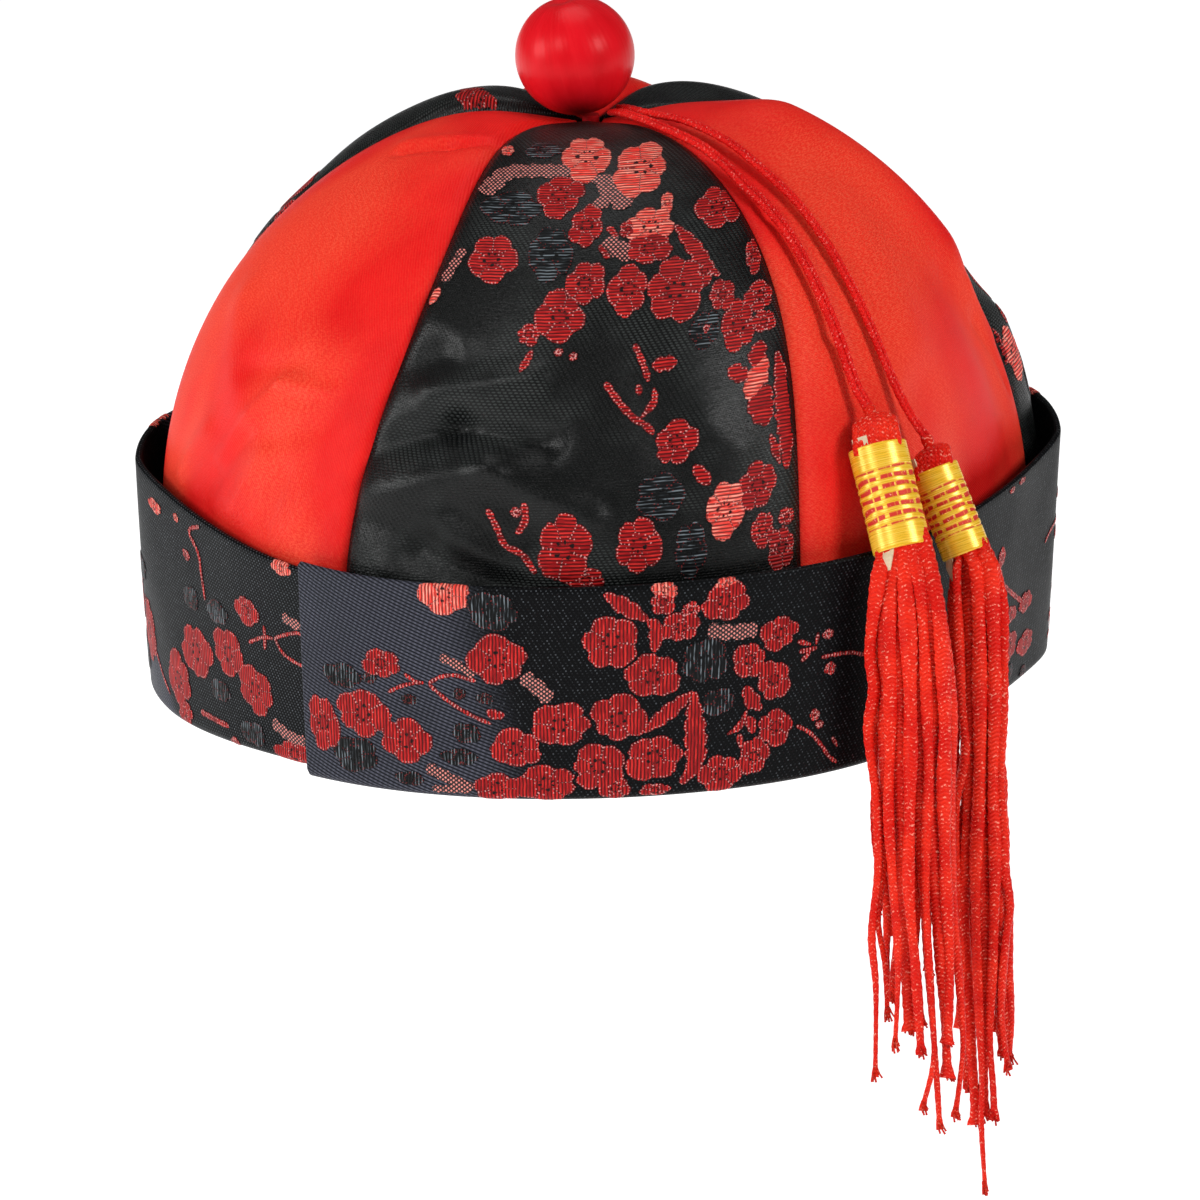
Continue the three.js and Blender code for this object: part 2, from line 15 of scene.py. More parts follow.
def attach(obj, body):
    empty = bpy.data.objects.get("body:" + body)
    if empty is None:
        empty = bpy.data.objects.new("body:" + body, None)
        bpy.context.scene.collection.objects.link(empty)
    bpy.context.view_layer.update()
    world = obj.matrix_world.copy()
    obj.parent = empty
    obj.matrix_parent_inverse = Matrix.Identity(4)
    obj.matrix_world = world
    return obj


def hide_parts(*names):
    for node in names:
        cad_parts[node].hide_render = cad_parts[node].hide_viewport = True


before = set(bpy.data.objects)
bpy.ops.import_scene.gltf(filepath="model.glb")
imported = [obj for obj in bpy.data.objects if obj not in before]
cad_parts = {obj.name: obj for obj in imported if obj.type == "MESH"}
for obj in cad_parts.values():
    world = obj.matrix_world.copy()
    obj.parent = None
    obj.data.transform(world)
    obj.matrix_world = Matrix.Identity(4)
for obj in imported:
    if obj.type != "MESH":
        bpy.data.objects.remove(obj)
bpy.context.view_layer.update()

MM = 0.001
TURN = 2 * math.pi
QUARTER = math.pi / 2

# ---- Camera ---------------------------------------------------------------------------

CAMERA_ELEVATION = math.radians(17)
CAMERA_ROLL = math.radians(1.9)
CAMERA_DISTANCE = 2200
CAMERA_AIM = (0, 0, 16)
CAMERA_LENS = 294.4
CAMERA_SENSOR = 36
CAMERA_SHIFT = (-0.0033, 0.0021)
CAMERA_CLIP = 20


def make_camera():
    """The camera looks at the hat's front from a little above, held slightly off level."""
    camera = bpy.data.objects.new("camera", bpy.data.cameras.new("camera"))
    bpy.context.collection.objects.link(camera)
    bpy.context.scene.camera = camera
    backwards = Vector((0, -math.cos(CAMERA_ELEVATION), math.sin(CAMERA_ELEVATION)))
    level_up = Vector((0, math.sin(CAMERA_ELEVATION), math.cos(CAMERA_ELEVATION)))
    level_right = Vector((1, 0, 0))
    right = level_right * math.cos(CAMERA_ROLL) - level_up * math.sin(CAMERA_ROLL)
    up = level_right * math.sin(CAMERA_ROLL) + level_up * math.cos(CAMERA_ROLL)
    turn = Matrix((right, up, backwards)).transposed().to_4x4()
    place = (Vector(CAMERA_AIM) + backwards * CAMERA_DISTANCE) * MM
    camera.matrix_world = Matrix.Translation(place) @ turn
    camera.data.lens = CAMERA_LENS
    camera.data.sensor_width = CAMERA_SENSOR
    camera.data.shift_x, camera.data.shift_y = CAMERA_SHIFT
    camera.data.clip_end = CAMERA_CLIP
    camera.data.dof.use_dof = False


make_camera()

# ---- Meshes ---------------------------------------------------------------------------


class Mesh:
    """Grids of points and their faces, gathered into one piece."""

    def __init__(self):
        self.points = []
        self.count = 0
        self.faces = []
        self.slots = []
        self.layers = {}

    def add(self, points, faces, slot=0, **layers):
        """Adds points (n, 3) in millimetres, faces as index lists, and (n, 2) layers."""
        points = np.asarray(points, float).reshape(-1, 3)
        self.points.append(points)
        for face in faces:
            self.faces.append([index + self.count for index in face])
            self.slots.append(slot)
        for name, values in layers.items():
            held = self.layers.setdefault(name, {})
            held[self.count] = np.asarray(values, float).reshape(-1, 2)
        self.count += len(points)

    def make(self, name, finishes, record_slot, replaced=(), smooth=True):
        """Makes the piece, with its finishes, and hides the nodes it replaces; record_slot is not
        used.
        """
        mesh = bpy.data.meshes.new(name)
        points = np.concatenate(self.points) * MM
        mesh.from_pydata(points.tolist(), [], self.faces)
        for finish in finishes:
            mesh.materials.append(finish)
        mesh.polygons.foreach_set("material_index", self.slots)
        mesh.polygons.foreach_set("use_smooth", [smooth] * len(self.faces))
        corners = np.zeros(len(mesh.loops), dtype=np.int32)
        mesh.loops.foreach_get("vertex_index", corners)
        for layer_name, parts in self.layers.items():
            values = np.zeros((self.count, 2))
            for start, part in parts.items():
                values[start:start + len(part)] = part
            layer = mesh.uv_layers.new(name=layer_name)
            layer.data.foreach_set("uv", values[corners].astype(np.float32).ravel())
        piece = bpy.data.objects.new(name, mesh)
        bpy.context.collection.objects.link(piece)
        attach(piece, "root")
        if replaced:
            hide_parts(*replaced)
        return piece


def grid_faces(rows, columns, flipped=False):
    """Faces of a grid of points, row by row."""
    faces = []
    for row in range(rows - 1):
        for column in range(columns - 1):
            low = row * columns + column
            high = low + columns
            face = [low, low + 1, high + 1, high]
            faces.append(face[::-1] if flipped else face)
    return faces


def pairs(*values):
    """Two numbers for each point: grids that are broadcast together and stacked."""
    return np.stack(np.broadcast_arrays(*values), -1)


# ---- Shader graphs --------------------------------------------------------------------


class Value:
    """A value in a finish: arithmetic on it adds Math nodes."""

    def __init__(self, finish, socket):
        self.finish = finish
        self.socket = socket

    def math(self, operation, *others):
        inputs = dict(enumerate((self, *others)))
        return self.finish.node("ShaderNodeMath", {"operation": operation}, inputs)

    def reflected(self, operation, other):
        return self.finish.node("ShaderNodeMath", {"operation": operation}, {0: other, 1: self})

    def __add__(self, other):
        return self.math("ADD", other)

    def __radd__(self, other):
        return self.reflected("ADD", other)

    def __sub__(self, other):
        return self.math("SUBTRACT", other)

    def __rsub__(self, other):
        return self.reflected("SUBTRACT", other)

    def __mul__(self, other):
        return self.math("MULTIPLY", other)

    def __rmul__(self, other):
        return self.reflected("MULTIPLY", other)

    def __truediv__(self, other):
        return self.math("DIVIDE", other)

    def __gt__(self, other):
        return self.math("GREATER_THAN", other)

    def fraction(self):
        return self.math("FRACT")

    def whole(self):
        return self.math("FLOOR")

    def sine(self):
        return self.math("SINE")

    def size(self):
        return self.math("ABSOLUTE")

    def root(self):
        return self.math("SQRT")

    def at_most(self, other):
        return self.math("MINIMUM", other)

    def at_least(self, other):
        return self.math("MAXIMUM", other)

    def ramp(self, low, high):
        """0 below low, 1 above high, smooth between."""
        settings = {"interpolation_type": "SMOOTHSTEP"}
        return self.finish.node("ShaderNodeMapRange", settings, {0: self, 1: low, 2: high})


class Finish:
    """A material with one Principled shader and a bump in front of its normal."""

    def __init__(self, name, **constants):
        self.material = bpy.data.materials.new(name)
        self.material.use_nodes = True
        self.tree = self.material.node_tree
        self.shader = self.tree.nodes["Principled BSDF"]
        for socket_name, value in constants.items():
            self.shader.inputs[socket_name.replace("_", " ")].default_value = value

    def node(self, kind, settings=None, inputs=None, output=0):
        """Adds a node: its settings first, then the values or links of its sockets."""
        made = self.tree.nodes.new(kind)
        for key, value in (settings or {}).items():
            setattr(made, key, value)
        for key, value in (inputs or {}).items():
            if isinstance(value, Value):
                self.tree.links.new(value.socket, made.inputs[key])
            else:
                made.inputs[key].default_value = value
        return Value(self, made.outputs[output])

    def layer(self, name):
        """The two numbers of a layer of the mesh."""
        vector = self.node("ShaderNodeUVMap", {"uv_map": name})
        first = self.node("ShaderNodeSeparateXYZ", None, {0: vector}, 0)
        second = self.node("ShaderNodeSeparateXYZ", None, {0: vector}, 1)
        return first, second

    def place(self):
        """Where a point is on the object, in millimetres."""
        coordinates = self.node("ShaderNodeTexCoord", None, None, 3)
        settings = {"operation": "SCALE"}
        return self.node("ShaderNodeVectorMath", settings, {0: coordinates, "Scale": 1 / MM})

    def vector(self, *parts):
        return self.node("ShaderNodeCombineXYZ", None, dict(enumerate(parts)))

    def noise(self, vector, scale, detail, roughness):
        inputs = {"Vector": vector, "Scale": scale, "Detail": detail, "Roughness": roughness}
        return self.node("ShaderNodeTexNoise", None, inputs)

    def mix(self, share, first, second):
        """A colour between two, which may be tuples or colours of this finish."""
        inputs = {0: share}
        for key, colour in ((6, first), (7, second)):
            inputs[key] = colour if isinstance(colour, Value) else (*colour, 1)
        settings = {"data_type": "RGBA"}
        return self.node("ShaderNodeMix", settings, inputs, 2)

    def feed(self, socket_name, value):
        self.tree.links.new(value.socket, self.shader.inputs[socket_name])

    def bump(self, height, distance):
        """Raises the surface by height times distance, in millimetres."""
        inputs = {"Height": height, "Distance": distance * MM, "Strength": 1}
        self.feed("Normal", self.node("ShaderNodeBump", None, inputs))


# ---- The crown's shape ----------------------------------------------------------------

# An outline from above: how far it is set aside, its half width, its reach in front and
# behind, where the two meet, and how far each side is drawn in towards the front.
CROWN_PLAN = {
    "aside": -1.2, "half_width": 96.9, "front": 89.2, "back": 79, "middle": 6,
    "right": 0.7, "left": 0.8,
}
FOOT_PLAN = {
    "aside": -1.6, "half_width": 100.6, "front": 94, "back": 83.5, "middle": 1,
    "right": 0.25, "left": 0.64,
}
BRIM_PLAN = {
    "aside": 0, "half_width": 104, "front": 93.7, "back": 88, "middle": 8,
    "right": 0.76, "left": 0.78,
}
HEM_HEIGHT = 3.6
SPRING_HEIGHT = 35
DOME_RISE = 99.5
SINK_DEPTH = 6.5
SINK_REACH = 0.224
CROWN_TWIST = 10
EYELET_RADIUS = 3.2
EYELET_CENTRE = (0.6, 0, 127.6)
SWELL_FADE = 0.2
SWELL_FULLNESS = 2.4
SWELL_START = 1.8
SEAM_DEPTH = 0.9
SEAM_REACH = 1.3
SEAM_MARGIN = 0.012
WALL_LENGTH = SPRING_HEIGHT - HEM_HEIGHT
DOME_LENGTH = QUARTER * (CROWN_PLAN["half_width"] + DOME_RISE) / 2
TIP_CLIMB = 1 + math.acos(EYELET_RADIUS / CROWN_PLAN["half_width"]) / QUARTER

# The bearing of each seam at the hem, and how it strays on its way up: evenly as the crown
# closes, and with the square.
SEAMS = {
    "right_front": (-35, 21.5, -54), "left_front": (27.2, 24, -25.6), "left_side": (90, 0, 0),
    "left_rear": (146, 0, 0), "right_rear": (201, 0, 0), "right_side": (257, 0, 0),
}
GORES = {
    "front": {"start": "right_front", "end": "left_front", "swell": 1.6},
    "front_left": {"start": "left_front", "end": "left_side", "swell": 2},
    "back_left": {"start": "left_side", "end": "left_rear", "swell": 3.6},
    "back": {"start": "left_rear", "end": "right_rear", "swell": 4},
    "back_right": {"start": "right_rear", "end": "right_side", "swell": 3.6},
    "front_right": {"start": "right_side", "end": "right_front", "swell": 1.6},
}

# Dents and ridges of the cloth: from (across, up) to (across, up) on the flat gore, how far
# each fades on either side, and how far it lifts the cloth or sinks it.
FOLDS = {
    "front": [
        (-44, 70, -24, 77, 3.4, -4), (-24, 77, -6, 74, 3.6, -3.4), (-42, 61, -16, 68, 4, 2.8),
        (-16, 68, 4, 58, 3.6, 2.3), (-30, 50, -12, 43, 3.6, -2.6), (-36, 89, -28, 93, 4.2, -2.4),
        (-30, 84, -8, 88, 3.2, 2), (-34, 102, -24, 96, 3.4, 1), (-44, 55, -28, 53, 3, -1.1),
        (-24, 60, -14, 52, 2.6, -1), (10, 96, 22, 66, 6, -1.1), (-38, 45, -32, 43, 2.6, 0.8),
        (26, 76, 34, 70, 3.4, 0.8), (-8, 52, 8, 62, 4, -0.9),
    ],
    "front_left": [
        (-15.4, 144, -19, 122, 2.2, -1.7), (-19, 122, -26, 90, 2.4, -1.5),
        (-26, 90, -29, 58, 3.2, -1.2), (-23, 140, -33, 96, 4, 1.1), (18, 88, 27, 48, 7, -1.4),
        (11, 140, 32, 98, 12, 6), (26, 76, 36, 60, 2.8, -1), (30, 84, 38, 72, 2.6, 0.8),
        (-2, 118, -8, 82, 7, 0.9), (-10, 70, 4, 46, 5, -0.8),
    ],
    "front_right": [
        (-3, 139.6, 5.8, 147, 1.5, -1.3), (5.8, 147, 11.6, 154, 1.5, -1.3),
        (-6, 142, 8, 153, 2, 0.5), (18, 64, 8, 46, 3, -1.3), (26, 62, 20, 48, 2.2, 0.9),
        (33, 60, 30, 47, 2.4, -1.1), (42, 58, 38, 48, 2, 0.7), (4, 60, -6, 48, 3, 0.8),
        (38, 72, 26, 66, 3, -0.7), (47, 55, 42, 47, 1.8, -0.8), (-6, 92, 14, 70, 5, 0.7),
        (37, 80, 24, 79, 1.6, 1.2), (24, 79, 12, 56, 1.8, 1.2), (26, 84, 12, 78, 3, -0.9),
    ],
    "back_left": [
        (-8, 120, 6, 70, 9, -1.4), (-8, 160, -16, 130, 12, -2.2), (10, 62, 4, 40, 3, -1),
        (-31, 40, -31, 68, 10, 5.2), (-20, 58, -12, 44, 3, 0.8),
    ],
    "back": [(-18, 110, -6, 64, 8, -1.4), (14, 70, 22, 44, 4, -1), (2, 60, -4, 42, 3, 0.8)],
    "back_right": [
        (12, 112, -4, 66, 9, -1.4), (10, 168, 12, 156, 8, 1.8), (-14, 60, -8, 42, 3, -0.9),
        (20, 64, 26, 46, 3, 0.8),
    ],
}


def unit(vectors):
    return vectors / np.linalg.norm(vectors, axis=-1, keepdims=True)


def outline_point(plan, bearing, crease=1):
    """The (x, y) of an outline at a bearing in degrees, from the front towards the left."""
    across, along = np.sin(np.radians(bearing)), np.cos(np.radians(bearing))
    corner = crease * np.where(across < 0, plan["right"], plan["left"])
    forwards = (plan["front"] + plan["middle"]) * (1 - corner * across ** 6)
    reach = np.where(along > 0, forwards, plan["back"] - plan["middle"])
    return plan["aside"] + plan["half_width"] * across, plan["middle"] - reach * along


def dome_slope(climb):
    """How far the dome has turned inwards at a climb, in radians."""
    return QUARTER * np.maximum(climb - 1, 0)


def crown_point(bearing, climb):
    """The smooth crown: climb is 0 at the hem, 1 at the spring line and 2 at the top."""
    slope = dome_slope(climb)
    spread = np.cos(slope)
    x, y = outline_point(CROWN_PLAN, bearing + CROWN_TWIST * (1 - spread), spread ** 2)
    height = HEM_HEIGHT + WALL_LENGTH * np.minimum(climb, 1) + DOME_RISE * np.sin(slope)
    height = height - SINK_DEPTH * np.exp(-((spread / SINK_REACH) ** 2))
    x = EYELET_CENTRE[0] + (x - EYELET_CENTRE[0]) * spread
    y = EYELET_CENTRE[1] + (y - EYELET_CENTRE[1]) * spread
    return np.stack([x, y, height], -1)


def crown_normal(bearing, climb):
    """The direction out of the smooth crown, from places a little way off on each side."""
    sideways = crown_point(bearing + 1, climb) - crown_point(bearing - 1, climb)
    upwards = crown_point(bearing, np.minimum(climb + 0.01, 2)) - crown_point(bearing, climb - 0.01)
    return unit(np.cross(sideways, upwards))


def line_distance(x, y, x0, y0, x1, y1):
    """How far places are from the straight line between two others."""
    dx, dy = x1 - x0, y1 - y0
    share = np.clip(((x - x0) * dx + (y - y0) * dy) / (dx * dx + dy * dy), 0, 1)
    return np.hypot(x - x0 - share * dx, y - y0 - share * dy)


class Gore:
    """One gore of the crown, as a surface over its flat cloth."""

    def __init__(self, name):
        self.name = name
        self.__dict__.update(GORES[name])
        self.middle = float(sum(self.seams(0))) / 2

    def seams(self, climb):
        """The bearings of the gore's two seams."""
        closed = 1 - np.cos(dome_slope(climb))
        start, end = (bearing + drift * closed + bend * closed ** 2
                      for bearing, drift, bend in (SEAMS[self.start], SEAMS[self.end]))
        return start, np.where(end < start, end + 360, end)

    def scale(self, climb):
        """Millimetres of cloth to a degree."""
        return math.radians(1) * CROWN_PLAN["front"] * np.cos(dome_slope(climb))

    def cloth(self, share, climb):
        """How far across and up the flat cloth a place is, in millimetres."""
        start, end = self.seams(climb)
        up = WALL_LENGTH * np.minimum(climb, 1) + DOME_LENGTH * np.maximum(climb - 1, 0)
        return (start + (end - start) * share - self.middle) * self.scale(climb), up

    def lift(self, share, climb):
        """How far the cloth stands off the smooth crown: its swell, folds and seams."""
        across, up = self.cloth(share, climb)
        start, end = self.seams(climb)
        arch = 1 - np.abs(2 * share - 1) ** SWELL_FULLNESS
        slope = dome_slope(climb)
        fade = 1 - np.exp(-((np.cos(slope) / SWELL_FADE) ** 2))
        swell = self.swell * arch * fade * np.minimum(1, SWELL_START * np.sin(slope))
        folds = 0 * across
        for x0, y0, x1, y1, reach, height in FOLDS[self.name]:
            distance = line_distance(across, up, x0, y0, x1, y1)
            folds = folds + height * np.exp(-((distance / reach) ** 2))
        seam = (0.5 - np.abs(share - 0.5)) * (end - start) * self.scale(climb)
        valley = SEAM_DEPTH * np.exp(-((seam / SEAM_REACH) ** 2))
        return swell + folds * arch ** 0.5 - valley

    def point(self, share, climb, lift=0):
        """The point a share of the way across at a climb, lifted off the cloth."""
        share, climb = np.broadcast_arrays(share, climb)
        start, end = self.seams(climb)
        bearing = start + (end - start) * share
        height = self.lift(share, climb) + lift
        return crown_point(bearing, climb) + crown_normal(bearing, climb) * height[..., None]

    def on_cloth(self, across, up, lift):
        """The points at places on the flat cloth, and whether each is on the gore."""
        climb = np.where(up < WALL_LENGTH, up / WALL_LENGTH, 1 + (up - WALL_LENGTH) / DOME_LENGTH)
        climb = np.clip(climb, 0, TIP_CLIMB)
        start, end = self.seams(climb)
        share = (self.middle + across / self.scale(climb) - start) / (end - start)
        low, high = SEAM_MARGIN, 1 - SEAM_MARGIN
        inside = (share > low) & (share < high)
        return self.point(np.clip(share, low, high), climb, lift), inside


# ---- The cuff's shape -----------------------------------------------------------------

CUFF_HEIGHT = 48
CUFF_WALL = 1.5
CUFF_FOLD_RADIUS = 2.2
CUFF_EDGE_RADIUS = 0.75
CUFF_FOOT = 4
TOP_START = CUFF_HEIGHT - CUFF_EDGE_RADIUS
EDGE_TURN = math.pi * CUFF_EDGE_RADIUS
INNER_WALL = 44
LAP_BEARING = -39.5
LAP_SPAN = 8
LAP_EASE = 34
LAP_DROP = 2
LAP_SLIP = CUFF_WALL + 0.3
SIDE_RISE = 5.4
WAVE_DEPTH = 0.35
WAVE_HEIGHT = 0.25
BEARING_COUNT = 1900
MOTIF_CEILING = CUFF_HEIGHT + 1.5
MOTIF_MARGIN = 0.4


def smooth_step(value, low, high):
    share = np.clip((value - low) / (high - low), 0, 1)
    return share * share * (3 - 2 * share)


class Cuff:
    """The cuff over its flat cloth: round from the front, up from its folded lower edge."""

    def __init__(self):
        start, end = LAP_BEARING - 5, LAP_BEARING + 365 + LAP_SPAN
        self.bearings = np.linspace(start, end, BEARING_COUNT)
        x, y = self.outline(self.bearings, 0.5)
        steps = np.hypot(np.diff(x), np.diff(y))
        self.rounds = np.concatenate([[0], np.cumsum(steps)])
        self.rounds -= np.interp(0, self.bearings, self.rounds)
        self.first = self.round_at(LAP_BEARING)
        self.last = self.round_at(LAP_BEARING + 360 + LAP_SPAN)

    def outline(self, bearing, share):
        """The (x, y) of the cuff at a bearing, a share of the way from its foot to its brim."""
        foot = outline_point(FOOT_PLAN, bearing)
        brim = outline_point(BRIM_PLAN, bearing)
        return foot[0] + (brim[0] - foot[0]) * share, foot[1] + (brim[1] - foot[1]) * share

    def round_at(self, bearing):
        """How far round the cloth a bearing is."""
        return float(np.interp(bearing, self.bearings, self.rounds))

    def section(self, up):
        """Inset and height of the outer face, and the slope of its normal."""
        fold = np.clip((CUFF_FOLD_RADIUS - up) / CUFF_FOLD_RADIUS, 0, QUARTER)
        under = np.maximum(CUFF_FOLD_RADIUS * (1 - QUARTER) - up, 0)
        edge = np.clip((up - TOP_START) / CUFF_EDGE_RADIUS, 0, math.pi)
        inner = np.maximum(up - TOP_START - EDGE_TURN, 0)
        inset = CUFF_FOLD_RADIUS * (1 - np.cos(fold)) + under + CUFF_EDGE_RADIUS * (1 - np.cos(edge))
        wall = np.clip(up, CUFF_FOLD_RADIUS, TOP_START)
        height = wall - CUFF_FOLD_RADIUS * np.sin(fold) + CUFF_EDGE_RADIUS * np.sin(edge) - inner
        return inset, height, edge - fold

    def point(self, along, up, lift=0):
        """The point at a place on the flat cloth, lifted off it."""
        along, up = np.broadcast_arrays(along, up)
        bearing = np.interp(along, self.rounds, self.bearings)
        inset, height, slope = self.section(up)
        share = height / CUFF_HEIGHT

        # The far end slips under the lap, and the cuff is taller behind than in front.
        under = smooth_step(bearing, LAP_BEARING + 360 - LAP_EASE, LAP_BEARING + 360)
        height = height + under * (LAP_SLIP * (1 - share) - LAP_DROP * share)
        behind = smooth_step(-np.cos(np.radians(bearing)), -0.5, 0.3)
        height = height * (1 + behind * SIDE_RISE / CUFF_HEIGHT)

        x, y = self.outline(bearing, share)
        x0, y0 = self.outline(bearing - 0.5, share)
        x1, y1 = self.outline(bearing + 0.5, share)
        length = np.hypot(x1 - x0, y1 - y0)
        outwards = np.stack([(y1 - y0) / length, -(x1 - x0) / length], -1)
        wave = WAVE_DEPTH * np.sin(along / 23 + 1.1) * np.sin(up / 19 + along / 61)
        out = lift * np.cos(slope) + wave * (height / CUFF_HEIGHT) - inset - under * LAP_SLIP
        place = np.stack([x, y], -1) + outwards * out[..., None]
        rise = height + lift * np.sin(slope) + WAVE_HEIGHT * share * np.sin(along / 31 + 0.6)
        return np.concatenate([place, rise[..., None]], -1)

    def on_cloth(self, along, up, lift):
        """The points at places on the flat cloth, and whether each is on the cuff."""
        first, last = self.first + MOTIF_MARGIN, self.last - MOTIF_MARGIN
        inside = (up > -CUFF_FOOT) & (up < MOTIF_CEILING) & (along > first) & (along < last)
        up = np.clip(up, -CUFF_FOOT, MOTIF_CEILING)
        return self.point(np.clip(along, first, last), up, lift), inside


# ---- Finishes -------------------------------------------------------------------------

YARN_PITCH = 0.95
STITCH_SPACING = 0.78
FLOAT_PITCH = 0.78
SATIN_PITCH = 0.62
GOLD_PITCH = 0.42
PETALS = 5


def threads(across, pitch, wander=0):
    """A row of round threads: 1 on each crest and 0 between them."""
    return ((across / pitch + wander) * TURN).sine() * 0.5 + 0.5


def stitch(x, y, radius):
    """A small round stitch where x and y, in millimetres, are both 0."""
    distance = (x * x + y * y).root()
    return 1 - distance.ramp(radius * 0.6, radius * 1.25)


def repeat(value, spacing):
    """How far a value is from the middle of the repeat that it is in."""
    return ((value / spacing).fraction() - 0.5) * spacing


def picks(rows, along, pitch, spacing, step, radius, stretch=1):
    """Small stitches in rows, each row a step further along than the one before."""
    row = (rows / pitch).whole()
    return stitch(repeat(rows, pitch), repeat(along + row * step, spacing) * stretch, radius)


def make_satin():
    """Red satin: a smooth face of long floats with a faint diagonal, and painted orange sheen and
    glints.
    """
    finish = Finish("red_satin", Specular_IOR_Level=0.05)
    across, along = finish.layer("Cloth")
    cloud = finish.noise(finish.vector(across, along), 0.05, 3, 0.6)
    drift = finish.noise(finish.vector(across * 0.5, along), 0.028, 2, 0.5)
    grain = finish.noise(finish.vector(across * 2.6, along * 1.2), 1, 2, 0.7)
    twill = threads(across * 0.8 + along, SATIN_PITCH)
    deep = finish.mix(cloud.ramp(0.3, 0.7), (0.66, 0.004, 0.007), (0.76, 0.01, 0.011))
    # Painted sheen: broad orange patches, a speckle of painted glints over them, and the twill's
    # threads a little lighter towards the same painted highlight.
    patch = drift.ramp(0.4, 0.62)
    painted_sheen = finish.mix(patch * 0.8, deep, (0.78, 0.036, 0.017))
    sheen_speckle = grain.ramp(0.42, 0.62) * (patch * 0.4 + 0.06)
    colour = finish.mix(sheen_speckle + twill * 0.08, painted_sheen, (0.9, 0.12, 0.06))
    finish.feed("Base Color", colour)
    finish.feed("Roughness", cloud * 0.14 + grain * 0.08 + 0.24)
    finish.bump(twill * 0.6 + grain * 1.6, 0.06)
    return finish.material


def make_crown_ground():
    """Black brocade of the crown: smooth twill with a faint lattice of picks, greyed as a painted
    sheen.
    """
    finish = Finish("crown_brocade_ground", Specular_IOR_Level=0.25)
    up, across = finish.layer("Cloth")
    pick = picks(up, across, 0.6, 1.1, 0.33, 0.2, stretch=0.55)
    cloud = finish.noise(finish.vector(up, across), 0.035, 3, 0.6)
    # The picks are greyed mostly in cloudy patches: painted sheen on the weave.
    shown = cloud.ramp(0.46, 0.62) * 0.9 + 0.05
    grain = finish.noise(finish.vector(up * 2.4, across * 0.5), 1, 2, 0.6)
    colour = finish.mix(pick * shown, (0.0012, 0.0016, 0.0015), (0.04, 0.046, 0.044))
    finish.feed("Base Color", colour)
    finish.feed("Roughness", cloud * 0.1 + grain * 0.1 + 0.25 - pick * 0.08)
    finish.bump(pick * 1.2 + grain * 0.6, 0.2)
    return finish.material


def make_cuff_ground():
    """Black brocade of the cuff: diagonal rows of pale picks, and painted grey sheen in two places.
    """
    finish = Finish("cuff_brocade_ground", Specular_IOR_Level=0.07, Anisotropic=0.3)
    along, up = finish.layer("Cloth")
    pick = picks(up, along, 0.62, 1.05, 0.36, 0.2)
    cloud = finish.noise(finish.vector(along, up), 0.06, 3, 0.6)
    speck = finish.noise(finish.vector(along, up), 0.9, 1, 0.6)
    # Painted sheen: a grey patch by the lap and another behind, where the dashes of the twill show
    # pale.
    by_lap = 1 - (along + up * 0.25).ramp(-26, -12)
    behind = (1 - (along + up).ramp(466, 472)) * along.ramp(380, 410)
    grey_sheen = by_lap.at_least(behind) * (cloud * 0.7 + 0.5).at_most(1)
    dash = threads(up + along * 0.36, 0.8).ramp(0.3, 0.75)
    dash = dash * (threads(along - up * 0.3, 1.3) * 0.5 + 0.5)
    sheen_weave = finish.mix(dash, (0.01, 0.011, 0.016), (0.1, 0.104, 0.136))
    base = finish.mix(grey_sheen, (0.0014, 0.0016, 0.002), sheen_weave)
    lapped = along.ramp(430, 450) * 0.3
    shown = pick * (1 - grey_sheen) * (speck.ramp(0.45, 0.7) * 0.45 + 0.03 + lapped)
    colour = finish.mix(shown, base, (0.13, 0.145, 0.16))
    finish.feed("Base Color", colour)
    finish.feed("Roughness", cloud * 0.2 + 0.3)
    finish.bump(pick + dash * grey_sheen, 0.08)
    return finish.material


